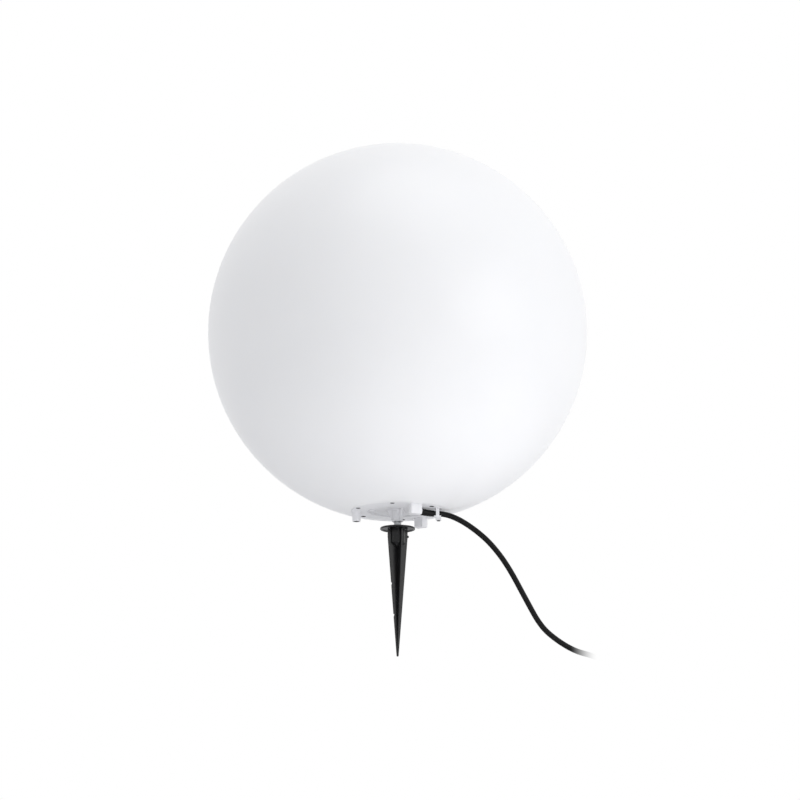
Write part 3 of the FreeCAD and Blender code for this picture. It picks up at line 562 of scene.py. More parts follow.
@dataclass(frozen=True)
class Finish:
    """A moulded or metal surface with fine grain, slow mottling and even gloss, and a painted glow where one
    is asked for.

    Args:
        name: the material's name.
        colour: base colour, linear.
        roughness: middle roughness.
        metallic: 1 for bare metal.
        grain: size of the fine grain, in waves a metre.
        depth: height of the grain, in metres.
        mottle: how far the colour drifts, as a share.
        drift: size of the slow mottling, in waves a metre.
        rough_spread: how far the roughness drifts.
        subsurface: how much light goes into the plastic.
        stretch: how much finer the grain is along X, Y and Z.
        coat: weight of a clear, glossy skin.
        ior: index of refraction, which sets the strength of the plain reflection.
        painted_glow: a painted glow, standing in for the light that comes through the wall of an opal piece.
        pattern: which pattern makes the grain.
        scatter: how far light goes into the plastic, in metres.
        scatter_colour: the same for red, green and blue, as shares.
        coat_roughness: of the clear skin.
    """

    name: str
    colour: tuple[float, float, float]
    roughness: float
    metallic: float = 0.0
    grain: float = 1500.0
    depth: float = 0.00002
    mottle: float = 0.04
    drift: float = 14.0
    rough_spread: float = 0.06
    subsurface: float = 0.0
    stretch: tuple[float, float, float] = (1.0, 1.0, 1.0)
    coat: float = 0.0
    ior: float = 1.45
    painted_glow: float = 0.0
    pattern: Noise = Noise.GRAIN
    scatter: float = 0.003
    scatter_colour: tuple[float, float, float] = (1.0, 0.96, 0.92)
    coat_roughness: float = 0.12

    def build(self) -> bpy.types.Material:
        """Makes the material's nodes; asked again, it gives the same material.

        Returns:
            The finished material.
        """
        name = f"{self.name}_finish"
        known = bpy.data.materials.get(name)
        if known:
            return known
        material = bpy.data.materials.new(name)
        material.use_nodes = True
        tree = material.node_tree
        place = tree.nodes.new("ShaderNodeTexCoord").outputs["Object"]
        slow = add_node(tree, "ShaderNodeTexNoise",
                        {"Scale": self.drift, "Detail": 4.0, "Vector": place}).outputs["Fac"]
        mapping = add_node(tree, "ShaderNodeMapping", {"Scale": self.stretch, "Vector": place})
        fine = add_node(tree, self.pattern.value, {"Scale": self.grain, "Vector": mapping.outputs["Vector"]})
        height = fine.outputs["Fac" if self.pattern is Noise.GRAIN else "Distance"]
        bump = add_node(tree, "ShaderNodeBump", {"Distance": self.depth, "Strength": 1.0, "Height": height})
        # the emission is painted glow: colour that stands in for light coming through an opal wall
        feed(tree, tree.nodes["Principled BSDF"], {
            "Base Color": self._colour(tree, slow), "Roughness": self._roughness(tree, slow),
            "Normal": bump.outputs["Normal"], "Metallic": self.metallic, "IOR": self.ior,
            "Subsurface Weight": self.subsurface, "Subsurface Scale": self.scatter,
            "Subsurface Radius": self.scatter_colour, "Coat Weight": self.coat,
            "Coat Roughness": self.coat_roughness, "Emission Color": (*self.colour, 1.0),
            "Emission Strength": self.painted_glow})
        return material

    def _colour(self, tree: Tree, slow: Socket) -> Socket:
        """Mixes a darker and a lighter shade of the base colour by the slow pattern.

        Args:
            tree: the nodes of the material.
            slow: the slow pattern.

        Returns:
            The colour.
        """
        ramp = add_node(tree, "ShaderNodeValToRGB", {"Fac": slow})
        dark, light = ramp.color_ramp.elements
        for stop, place, share in ((dark, 0.3, 1 - self.mottle), (light, 0.7, 1 + self.mottle)):
            stop.position = place
            stop.color = (*(min(c * share, 1.0) for c in self.colour), 1.0)
        return ramp.outputs["Color"]

    def _roughness(self, tree: Tree, slow: Socket) -> Socket:
        """Lets the roughness drift with the slow pattern.

        Args:
            tree: the nodes of the material.
            slow: the slow pattern.

        Returns:
            The roughness.
        """
        low = max(self.roughness - self.rough_spread, 0.02)
        high = min(self.roughness + self.rough_spread, 1.0)
        spread = add_node(tree, "ShaderNodeMapRange", {"Value": slow, "To Min": low, "To Max": high})
        return spread.outputs["Result"]


# Inner faces of the globe: painted glow, standing in for the light that comes through the shell.
GLOWING_OPAL_INSIDE = Finish("opal_inside_painted_glow", (0.87, 0.87, 0.87), 0.5, grain=420, depth=0.00003, mottle=0.006,
                     painted_glow=0.16)
# Walls of bores and screw holes: painted shade, a near black that stands for the shade inside them.
BORE_SHADE = Finish("bore_painted_shade", (0.05, 0.05, 0.052), 0.8, grain=1600, depth=0.00005, mottle=0.2)
# Steel of the plate's and the clip's screws, made near black as painted shade for their sunk holes.
SHADE_DARKENED_STEEL = Finish("steel_darkened_for_shade", (0.035, 0.035, 0.037), 0.5, metallic=1.0, grain=1600, depth=0.00003,
                    mottle=0.15, drift=120)
SLOT_FINISH: dict[str, Finish] = {
    # the globe's outside carries a faint painted glow, standing in for light through its wall
    "opal_plastic": Finish("opal_globe", (0.89, 0.89, 0.90), 0.36, grain=420, depth=0.00003, mottle=0.006,
                           rough_spread=0.03, subsurface=0.25, painted_glow=0.05),
    "grey_plastic": Finish("base_plastic", (0.87, 0.87, 0.89), 0.42, grain=2600, depth=0.00003, mottle=0.02),
    "black_plastic": Finish("spike_plastic", (0.006, 0.006, 0.0066), 0.30, grain=1800, depth=0.00005,
                            mottle=0.2, ior=1.36),
    "zinc_steel": Finish("zinc_steel", (0.62, 0.63, 0.64), 0.34, metallic=1.0, mottle=0.08, drift=90),
    "nickel": Finish("nickel_plate", (0.70, 0.68, 0.63), 0.2, metallic=1.0, grain=1200, depth=0.00001,
                     drift=60),
    "brass": Finish("brass", (0.72, 0.50, 0.20), 0.28, metallic=1.0, grain=1400, depth=0.00001, drift=80),
    "gasket_rubber": Finish("seal_rubber", (0.05, 0.05, 0.05), 0.7, grain=2200, depth=0.00005, mottle=0.1),
    "cord_rubber": Finish("cord_rubber", (0.004, 0.004, 0.0044), 0.32, grain=2400, depth=0.00006,
                          mottle=0.15, drift=40, ior=1.25),
    "plug_rubber": Finish("plug_rubber", (0.015, 0.015, 0.016), 0.45, grain=2800, depth=0.00008,
                          mottle=0.12, drift=50),
    "tie_nylon": Finish("tie_nylon", (0.04, 0.04, 0.045), 0.8, grain=1600, depth=0.0001, mottle=0.2,
                        stretch=(1, 1, 3), pattern=Noise.CELLS),
    "bakelite": Finish("holder_bakelite", (0.03, 0.026, 0.023), 0.3, depth=0.00003, mottle=0.2, coat=0.2),
    "ceramic": Finish("holder_ceramic", (0.80, 0.78, 0.73), 0.35, grain=1200),
    "bulb_white": Finish("bulb_plastic", (0.82, 0.82, 0.81), 0.3, mottle=0.01),
    "bulb_opal": Finish("bulb_opal", (0.88, 0.88, 0.86), 0.28, grain=900, mottle=0.01, subsurface=0.3),
    "board_white": Finish("light_board", (0.80, 0.80, 0.77), 0.4),
    "block_plastic": Finish("block_nylon", (0.75, 0.73, 0.67), 0.38, subsurface=0.1),
    "core_brown": Finish("core_brown", (0.16, 0.06, 0.02), 0.35),
    "core_blue": Finish("core_blue", (0.02, 0.08, 0.42), 0.35),
    "core_green": Finish("core_green", (0.16, 0.42, 0.04), 0.35),
}
# the plate's and the clip's screws take the steel darkened as painted shade
NODE_FINISH: dict[str, Finish] = {"plate_screws": SHADE_DARKENED_STEEL, "cord_clip_screw": SHADE_DARKENED_STEEL}


def face_centres(piece: Piece) -> Array:
    """The middles of a piece's faces.

    Args:
        piece: a piece with a mesh.

    Returns:
        A row of X, Y and Z for each face, in millimetres.
    """
    places = np.empty(3 * len(piece.data.polygons))
    piece.data.polygons.foreach_get("center", places)
    return places.reshape(-1, 3) / MM


def refinish(piece: Piece, chosen: Array, finish: Finish) -> None:
    """Gives some faces of a finished piece a second finish.

    Args:
        piece: the piece.
        chosen: for each face, whether it takes the second finish.
        finish: the second finish.
    """
    piece.data.materials.append(finish.build())
    piece.data.polygons.foreach_set("material_index", chosen.astype(np.int32))


def body_of_node(node: str) -> str:
    """The name of the body that a CAD node rides on."""
    return next(b for b, nodes in frame["record"]["behaviour"]["bodies"].items() if node in nodes)


def slot_of_node(node: str) -> str:
    """The record's material slot of a CAD node."""
    return next(s["material_slot"] for s in frame["record"]["subparts"] if s["node"] == node)


def finish_of_node(node: str) -> Finish:
    """The finish of a CAD node: its own one, or else that of its material slot."""
    return NODE_FINISH.get(node) or SLOT_FINISH[slot_of_node(node)]


def paint(piece: Piece, finish: Finish) -> None:
    """Gives a piece one finish."""
    piece.data.materials.clear()
    piece.data.materials.append(finish.build())


def stand_for(piece: Piece, *nodes: str) -> Piece:
    """Lets a new piece stand for CAD nodes: it rides on their body and takes their finish.

    Args:
        piece: the new piece.
        nodes: the nodes it replaces; the first gives its body, slot and finish.

    Returns:
        The piece.
    """
    paint(piece, finish_of_node(nodes[0]))
    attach(piece, body_of_node(nodes[0]))
    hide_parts(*nodes)
    log.info("%s stands for %s", piece.name, ", ".join(nodes))
    return piece


# ---- Studio -----------------------------------------------------------------------------------
class Underside(Enum):
    """What a floor shows to a camera below it."""

    OPEN = "open"
    WHITE = "white"
    FADE = "fade"


@dataclass(frozen=True)
class SoftBox:
    """One round soft box.

    Args:
        name: its name.
        place: where it stands, in metres.
        size: its width, in metres.
        power: in watts.
        aim: the point that it faces.
    """

    name: str
    place: tuple[float, float, float]
    size: float
    power: float
    aim: tuple[float, float, float] = (0.0, 0.0, 0.435)


@dataclass
class Studio:
    """Camera, floor, world and lamps.

    Args:
        scale_mm: millimetres in one pixel of the reference picture.
        picture: side of the square picture, in pixels.
        elevation: of the camera above the horizon, in degrees.
        distance_m: from the camera to the lamp's axis.
        axis_px: where the lamp's axis stands in the picture.
        globe_px: height of the globe's centre in the picture.
        globe_z: height of the globe's centre, in millimetres.
        sensor: width of the camera's sensor, in millimetres.
        sky: strength of the even light.
        floor_half: half the floor's side, in metres.
        floor_fade: distances from the lamp between which the floor turns from pale to white.
        fade_x: where the lead's end begins to fade and where it is gone.
        fade_y: depth of the strip that fades it.
        covers: strips of floor that are white from below, as X from, X to and Y from, in metres.
        cover_far: far edge of those strips.
        lamps: the soft boxes.
    """

    scale_mm: float = 1.319
    picture: int = 800
    elevation: float = -11.55
    distance_m: float = 30.0
    axis_px: float = 397.6
    globe_px: float = 332.6
    globe_z: float = 435.0
    sensor: float = 36.0
    sky: float = 0.66
    floor_half: float = 4.0
    floor_fade: tuple[float, float] = (1.1, 2.3)
    fade_x: tuple[float, float] = (0.226, 0.2635)
    fade_y: tuple[float, float] = (-0.085, 0.032)
    covers: tuple[tuple[float, float, float], ...] = (
        (-0.080, -0.010, -0.022), (-0.010, 0.036, 0.030), (0.036, 0.172, -0.022), (0.172, 0.226, 0.032),
        (0.226, 0.2635, 0.032), (0.2635, 0.300, -0.085))
    cover_far: float = 0.215
    lamps: tuple[SoftBox, ...] = (
        SoftBox("key_box", (3.2, -2.2, 0.75), 3.0, 38.0),
        SoftBox("top_box", (0.2, -0.6, 3.0), 2.6, 16.0),
        SoftBox("light_table", (0.5, -0.5, 0.004), 1.4, 1.4, (0.5, -0.5, 1.0)))

    def build(self) -> None:
        """Makes the studio round the lamp."""
        self._camera()
        self._world()
        self._floor()
        self._lamps()

    def _camera(self) -> None:
        """A long lens at the photograph's low viewing angle."""
        tilt = math.radians(self.elevation)
        back = Vector((0, -math.cos(tilt), math.sin(tilt)))
        up = Vector((0, math.sin(tilt), math.cos(tilt)))
        centre = Vector((0, 0, self.globe_z * MM))
        half = self.picture / 2
        aim = centre + Vector((half - self.axis_px, 0, 0)) * self.scale_mm * MM
        aim -= up * (half - self.globe_px) * self.scale_mm * MM
        data = bpy.data.cameras.new("studio_camera")
        data.sensor_width = self.sensor
        data.lens = self.sensor * self.distance_m / (self.picture * self.scale_mm * MM)
        data.clip_end = 100.0
        camera = linked("studio_camera", data)
        camera.location = aim + back * self.distance_m
        camera.rotation_euler = (-back).to_track_quat("-Z", "Y").to_euler()
        bpy.context.scene.camera = camera

    def _world(self) -> None:
        """Even soft light all round, plain white where it is seen directly or in a reflection."""
        world = bpy.data.worlds.new("studio_world")
        bpy.context.scene.world = world
        world.use_nodes = True
        tree = world.node_tree
        soft = feed(tree, tree.nodes["Background"], {"Color": (0.97, 0.98, 1.0, 1), "Strength": self.sky})
        white = add_node(tree, "ShaderNodeBackground", {"Color": (1, 1, 1, 1), "Strength": 1.0})
        rays = tree.nodes.new("ShaderNodeLightPath")
        seen = rays.outputs["Is Camera Ray"]
        for name in ("Is Glossy Ray", "Is Transmission Ray"):
            either = add_node(tree, "ShaderNodeMath", {0: seen, 1: rays.outputs[name]}, operation="MAXIMUM")
            seen = either.outputs["Value"]
        sky = mixed(tree, seen, soft.outputs["Background"], white.outputs["Background"])
        tree.links.new(sky, tree.nodes["World Output"].inputs["Surface"])

    def underside(self, x: float, y: float) -> Underside:
        """What a place of the floor shows from below.

        The put-away lead and its plug lie over the white places, and the lead's visible end over the
        fading one.

        Args:
            x: place on the floor, in metres.
            y: place on the floor, in metres.

        Returns:
            The kind of underside.
        """
        if self.fade_x[0] < x < self.fade_x[1] and self.fade_y[0] < y < self.fade_y[1]:
            return Underside.FADE
        for x0, x1, y0 in self.covers:
            if x0 < x < x1 and y0 < y < self.cover_far:
                return Underside.WHITE
        return Underside.OPEN

    def _floor(self) -> None:
        """One pale floor of rectangular fields, all alike from above."""
        far = self.floor_half
        xs = sorted({-far, far, *self.fade_x, *(x for cover in self.covers for x in cover[:2])})
        ys = sorted({-far, far, *self.fade_y, *(cover[2] for cover in self.covers), self.cover_far})
        points = [(x, y, 0.0) for y in ys for x in xs]
        wide = len(xs)
        faces = [(j * wide + i, j * wide + i + 1, (j + 1) * wide + i + 1, (j + 1) * wide + i)
                 for j in range(len(ys) - 1) for i in range(wide - 1)]
        mesh = bpy.data.meshes.new("floor")
        mesh.from_pydata(points, [], faces)
        kinds = list(Underside)
        for kind in kinds:
            mesh.materials.append(self._floor_material(f"floor_{kind.value}", kind))
        for face in mesh.polygons:
            face.material_index = kinds.index(self.underside(face.center.x, face.center.y))
        linked("floor", mesh)

    def _floor_material(self, name: str, underside: Underside) -> bpy.types.Material:
        """Pale matt from above; from below clear, white, or fading from clear to white along X.

        Args:
            name: the material's name.
            underside: what it shows from below.

        Returns:
            The material.
        """
        material = bpy.data.materials.new(name)
        material.use_nodes = True
        tree = material.node_tree
        matt = feed(tree, tree.nodes["Principled BSDF"], {
            "Base Color": (0.90, 0.90, 0.905, 1), "Roughness": 0.9, "Specular IOR Level": 0.2})
        place = tree.nodes.new("ShaderNodeTexCoord").outputs["Object"]
        clear = tree.nodes.new("ShaderNodeBsdfTransparent").outputs["BSDF"]
        white = add_node(tree, "ShaderNodeEmission", {"Strength": 1.0}).outputs["Emission"]
        below = {Underside.OPEN: clear, Underside.WHITE: white}
        if underside is Underside.FADE:
            axes = add_node(tree, "ShaderNodeSeparateXYZ", {"Vector": place})
            below[underside] = mixed(tree, smooth_share(tree, axes.outputs["X"], self.fade_x), clear, white)
        above = mixed(tree, self._far_share(tree, place), matt.outputs["BSDF"], white)
        back = tree.nodes.new("ShaderNodeNewGeometry").outputs["Backfacing"]
        tree.links.new(mixed(tree, back, above, below[underside]),
                       tree.nodes["Material Output"].inputs["Surface"])
        return material

    def _far_share(self, tree: Tree, place: Socket) -> Socket:
        """How white the camera sees the floor from above: not at all near the lamp, wholly far away.

        Args:
            tree: the nodes of the material.
            place: the place on the floor.

        Returns:
            The share of white.
        """
        away = add_node(tree, "ShaderNodeVectorMath", {0: place}, operation="LENGTH")
        far = smooth_share(tree, away.outputs["Value"], self.floor_fade)
        camera = tree.nodes.new("ShaderNodeLightPath").outputs["Is Camera Ray"]
        return add_node(tree, "ShaderNodeMath", {0: far, 1: camera}, operation="MULTIPLY").outputs["Value"]

    def _lamps(self) -> None:
        """Soft boxes: the key to the right, one over the lamp and a light table on the floor."""
        for box in self.lamps:
            data = bpy.data.lights.new(box.name, "AREA")
            data.shape = "DISK"
            data.size = box.size
            data.energy = box.power
            lamp = linked(box.name, data)
            lamp.location = box.place
            lamp.rotation_euler = (Vector(box.aim) - Vector(box.place)).to_track_quat("-Z", "Y").to_euler()
            lamp.visible_camera = False


# ---- Mains lead -------------------------------------------------------------------------------
@dataclass
class MainsLead:
    """The rubber lead from its duct under the plate to the plug, with the coil between them.

    Args:
        diameter: of the sheath, in millimetres.
        route: chosen points from the duct to the coil.
        tail: chosen points from the coil to the plug.
        coil_centre: plan place of the coil.
        coil_outer: radius of the outermost turn's centre line.
        coil_start: direction in which the coil starts and ends, in degrees.
        coil_turns: turns in each of the two layers.
        coil_pitch: from turn to turn and from layer to layer.
        coil_z: height of the lower layer's centre line.
        climb_turns: share of a turn on which the coil climbs to its upper layer.
        points_a_turn: control points in each turn.
        length: of the free lead, in metres; not used.
        sleeve_share: how far the strain relief goes along the lead's first bend.
        sleeve_walls: its wall at both ends.
        sleeve_ribs: number of fine grooves round it.
        sleeve_groove: their depth.
        sleeve_grip: how much narrower than the lead its bore is.
    """

    diameter: float = 7.4
    route: tuple[tuple[float, float, float], ...] = (
        (30.0, -26.6, 189.2), (42.5, -19.0, 187.5), (61.5, -11.5, 189.1), (81.0, -9.0, 182.2),
        (103.0, -8.2, 167.6), (124.0, -8.0, 148.6), (145.5, -7.5, 119.5), (168.0, -7.5, 76.5),
        (188.0, -8.0, 39.0), (209.0, -7.0, 20.5), (233.0, -1.5, 7.0), (256.0, 14.0, 3.9),
        (269.0, 44.0, 3.9), (266.0, 80.0, 3.9), (248.0, 116.0, 3.9), (218.0, 147.0, 4.1),
        (184.0, 171.0, 4.4), (148.0, 190.6, 4.9), (112.4, 190.6, 4.9))
    tail: tuple[tuple[float, float, float], ...] = (
        (97.6, 190.6, 12.75), (64.0, 190.6, 12.75), (26.0, 190.6, 18.8), (-12.0, 190.6, 18.8))
    coil_centre: tuple[float, float] = (105.0, 130.0)
    coil_outer: float = 60.6
    coil_start: float = 90.0
    coil_turns: float = 4.0
    coil_pitch: float = 7.85
    coil_z: float = 4.9
    climb_turns: float = 0.5
    points_a_turn: int = 20
    length: float = 2.971
    sleeve_share: float = 0.8
    sleeve_walls: tuple[float, float] = (1.1, 0.35)
    sleeve_ribs: int = 5
    sleeve_groove: float = 0.12
    sleeve_grip: float = 0.05

    def coil_radius(self, turn: Array) -> Array:
        """The coil's radius after some turns: one pitch less a turn to its middle, then one more."""
        return self.coil_outer - self.coil_pitch * np.minimum(turn, 2 * self.coil_turns - turn)

    def coil_points(self) -> Array:
        """Control points of the coil.

        The part of a turn round the middle of the winding climbs to the upper layer by the smooth
        step s^2 (3 - 2 s).

        Returns:
            An array of places, in millimetres.
        """
        whole = 2 * self.coil_turns
        turn = np.linspace(0, whole, round(whole * self.points_a_turn) + 1)
        radius = self.coil_radius(turn)
        climb = np.clip((turn - self.coil_turns) / self.climb_turns + 0.5, 0, 1)
        angle = np.radians(self.coil_start + 360 * turn)
        height = self.coil_z + self.coil_pitch * climb ** 2 * (3 - 2 * climb)
        return np.stack((self.coil_centre[0] + radius * np.cos(angle),
                         self.coil_centre[1] + radius * np.sin(angle), height), axis=-1)

    def build(self) -> Piece:
        """Makes the lead as one open curve of control points joined by second-order arcs.

        Returns:
            The lead.
        """
        points = np.concatenate((np.array(self.route), self.coil_points(), np.array(self.tail))) * MM
        data = bpy.data.curves.new("mains_lead", "CURVE")
        data.dimensions = "3D"
        data.bevel_depth = self.diameter * MM / 2
        data.bevel_resolution = 6
        data.use_fill_caps = True
        data.resolution_u = 8
        spline = data.splines.new("NURBS")
        spline.points.add(len(points) - 1)
        spline.points.foreach_set("co", np.append(points, np.ones((len(points), 1)), axis=1).ravel())
        spline.order_u = 3
        spline.use_endpoint_u = True
        return stand_for(linked("mains_lead", data), "cord_free", "cord_coil", "cord_tail")

    def sleeve(self) -> Piece:
        """The tapered strain relief, along the lead's first bend.

        With its second-order control points a, b, c the lead starts on the parabola from a to the
        middle of b and c, (1 - t)^2 a + 2 t (1 - t) b + t^2 (b + c) / 2. The wall grows thinner
        along it, and a groove is cut where the cosine of the ribs' wave is high, but for the start.

        Returns:
            The strain relief.
        """
        a, b, c = (np.array(p) for p in self.route[:3])
        t = np.linspace(0, self.sleeve_share, 24)[:, None]
        path = (1 - t) ** 2 * a + 2 * t * (1 - t) * b + t ** 2 * (b + c) / 2
        share = t[:, 0] / self.sleeve_share
        wall = self.sleeve_walls[0] + (self.sleeve_walls[1] - self.sleeve_walls[0]) * share
        grooves = (np.cos(share * TAU * self.sleeve_ribs) > 0.2) * (share > 0.1)
        radius = self.diameter / 2 + wall - self.sleeve_groove * grooves
        shell = Shell().tube(path, radius, bore=self.diameter / 2 - self.sleeve_grip, steps=40)
        return stand_for(shell.to_object("strain_relief"), "cord_sleeve")


# ---- Globe ------------------------------------------------------------------------------------
@dataclass
class Globe:
    """The opal ball with its cut mouth, flange and screw bosses.

    Args:
        radius: of the ball, in millimetres.
        wall: thickness of the ball.
        mouth_r: radius at which the ball is cut.
        mouth_round: half the width of the rounding at the cut.
        plate_z: level of the cut.
        plate_t: thickness of the base plate, which lies in the seat.
        seat_r: radius of that seat.
        neck_r: radius of the flange's opening.
        flange_t: thickness of the flange above the seat.
        gasket_t: room for the gasket between plate and flange.
        boss_r: radius of the bosses for the screws.
        boss_h: their height above the flange.
        pilot_r: radius of the holes in them.
        ring: the places of the screws.
        steps: columns of faces round the ball.
        rows: rows of faces up the outside and down the inside.
    """

    radius: float = 250.0
    wall: float = 3.0
    mouth_r: float = 68.2
    mouth_round: float = 3.0
    plate_z: float = PLATE_LOW
    plate_t: float = 3.0
    seat_r: float = 61.4
    neck_r: float = 48.0
    flange_t: float = 4.0
    gasket_t: float = 1.5
    boss_r: float = 4.5
    boss_h: float = 9.0
    pilot_r: float = 2.3
    ring: ScrewRing = ScrewRing()
    steps: int = 192
    rows: tuple[int, int] = (110, 90)

    def centre_z(self) -> float:
        """Height of the ball's centre."""
        return self.plate_z + math.sqrt(self.radius ** 2 - self.mouth_r ** 2)

    def flange_top(self) -> float:
        """Level of the flange's upper side, inside the ball."""
        return self.plate_z + self.plate_t + self.gasket_t + self.flange_t

    def profile(self) -> list[tuple[float, float]]:
        """The wall's closed outline: up the outside, down the inside, round the flange and seat.

        The ball's points are (r * cos a, centre + r * sin a) with the outer and the inner radius r.
        Between the cut and the ball the lip rises with the square of its way outwards.

        Returns:
            Radius and height of each point.
        """
        centre_z, flange_top = self.centre_z(), self.flange_top()
        inner, flange_low = self.radius - self.wall, flange_top - self.flange_t
        far = self.mouth_r + self.mouth_round
        start = math.atan2(-math.sqrt(self.radius ** 2 - far ** 2), far)
        outer = [(self.radius * math.cos(a), centre_z + self.radius * math.sin(a))
                 for a in np.linspace(start, math.pi / 2, self.rows[0])]
        dip = centre_z - flange_top
        end = math.atan2(-dip, math.sqrt(inner ** 2 - dip ** 2))
        inside = [(inner * math.cos(a), centre_z + inner * math.sin(a))
                  for a in np.linspace(math.pi / 2, end, self.rows[1])]
        near = self.mouth_r - self.mouth_round
        rise = outer[0][1] - self.plate_z
        lip = [(near + (far - near) * t, self.plate_z + rise * t * t) for t in np.linspace(0, 1, 6)[:-1]]
        seat = [(self.neck_r + 0.5, flange_top), (self.neck_r, flange_top - 0.5),
                (self.neck_r, flange_low + 0.4), (self.neck_r + 0.4, flange_low), (self.seat_r, flange_low),
                (self.seat_r, self.plate_z + 0.6), (self.seat_r + 0.2, self.plate_z + 0.2),
                (self.seat_r + 0.6, self.plate_z)]
        return lip + outer + inside + seat

    def build(self) -> Piece:
        """Makes the globe and lets it stand for its node; its inner faces take their own finish, with a
        painted glow.

        Returns:
            The globe.
        """
        shell = Shell().lathe(self.profile(), self.steps)
        low, top = self.flange_top(), self.flange_top() + self.boss_h
        boss = [(self.pilot_r, low + 1), (self.boss_r + 0.6, low - 0.2), (self.boss_r, low + 1),
                (self.boss_r, top - 0.5), (self.boss_r - 0.5, top), (0.0, top), (0.0, top - 2),
                (self.pilot_r, top - 2)]
        for at in self.ring.places():
            shell.lathe(boss, 24, centre=at)
        globe = stand_for(shell.to_object("globe_ball"), "globe_shell")
        places = face_centres(globe)
        inside = np.linalg.norm(places - (0.0, 0.0, self.centre_z()), axis=1) < self.radius - self.wall / 2
        # the inner faces get a painted glow for the light that comes through the shell
        refinish(globe, inside & (places[:, 2] > low - self.flange_t / 2), GLOWING_OPAL_INSIDE)
        return globe


# ---- Spike and stud ---------------------------------------------------------------------------
@dataclass
class Spike:
    """The ground spike: stop disc, round socket and two crossed, tapered blades.

    Args:
        length: from the tip to the disc, in millimetres.
        disc_top: upper face of the disc.
        disc_r: radius of the disc.
        tip_r: half width of a blade at the tip.
        reach: half width of a blade under the disc.
        straight_z: above this a blade's edges run straight.
        thickness: of a blade.
        turn: direction of the first blade, in degrees.
        collar_r: outer radius of the socket.
        collar_h: length of the socket's straight part under the disc.
        socket_r: radius of its bore.
        socket_h: depth of its bore under the disc.
        blunt: radius and depth of the socket's blunt lower end.
        knob: inner and outer radius, lower and upper level of the small knob on the first blade.
        barbs: heights of the notches in one edge.
        barb_depth: how deep they are.
        barb_height: how high they are.
    """

    length: float = 170.0
    disc_top: float = 172.4
    disc_r: float = 23.0
    tip_r: float = 1.2
    reach: float = 14.2
    straight_z: float = 160.0
    thickness: float = 2.3
    turn: float = 25.0
    collar_r: float = 10.0
    collar_h: float = 18.0
    socket_r: float = 5.08
    socket_h: float = 15.0
    blunt: tuple[float, float] = (4.5, 23.0)
    knob: tuple[float, float, float, float] = (13.0, 15.9, 160.0, 163.0)
    barbs: tuple[float, ...] = (98.5, 56.5)
    barb_depth: float = 1.3
    barb_height: float = 4.0

    def half_width(self, z: float) -> float:
        """How far a blade reaches from the axis: evenly more from its tip to its straight edges."""
        return self.tip_r + (self.reach - self.tip_r) * min(z / self.straight_z, 1)

    def blade(self, first: bool) -> Shell:
        """One blade across the axis, in the XZ plane; the first one has the notches and the knob.

        Args:
            first: whether it is the first of the two.

        Returns:
            The blade.
        """
        top = self.length + 0.6
        outline = [(0.5, 0.0), (self.tip_r, self.tip_r), (self.reach, self.straight_z), (self.reach, top),
                   (-self.reach, top), (-self.reach, self.straight_z)]
        for level in self.barbs if first else ():
            below = level - self.barb_height
            outline += [(-self.half_width(level), level), (self.barb_depth - self.half_width(level), level),
                        (-self.half_width(below), below)]
        outline += [(-self.tip_r, self.tip_r), (-0.5, 0.0)]
        half = self.thickness / 2
        shell = Shell().prism(np.array(outline), -half, half, edge=0.45)
        if first:
            near, far, low, high = self.knob
            shell.prism(rounded([(near, low, 0.2), (far, low, 0.7), (far, high, 0.7), (near, high, 0.2)]),
                        -half, half, edge=0.35)
        return shell.placed(UPRIGHT)

    def build(self) -> Piece:
        """Makes the spike and lets it stand for its node.

        Returns:
            The spike.
        """
        under, (blunt_r, blunt_h) = self.length, self.blunt
        body = rounded([(self.socket_r, self.disc_top, 0.3), (self.disc_r, self.disc_top, 0.5),
                        (self.disc_r, under, 0.5), (self.disc_r - 2.2, under, 0.4),
                        (self.disc_r - 3.2, under + 1, 0.5), (self.collar_r, under + 1, 0.8),
                        (self.collar_r, under - self.collar_h, 1.5), (blunt_r, under - blunt_h, 1.5),
                        (0.0, under - blunt_h, 0.0), (0.0, under - self.socket_h, 0.0),
                        (self.socket_r, under - self.socket_h, 0.0)])
        shell = Shell().lathe(body, 96)
        shell.merge(self.blade(first=True).turned(self.turn))
        shell.merge(self.blade(first=False).turned(self.turn + 90))
        return stand_for(shell.to_object("spike"), "ground_spike")


def threaded_stud() -> Piece:
    """The M10 stud with its thread, bevelled at both ends."""
    shell = Shell().thread(Thread(radius=5.0, depth=0.92, pitch=1.5), low=158.53, high=209.8, bevel=0.9)
    return stand_for(shell.to_object("threaded_stud", smooth_angle=50), "spike_stud")


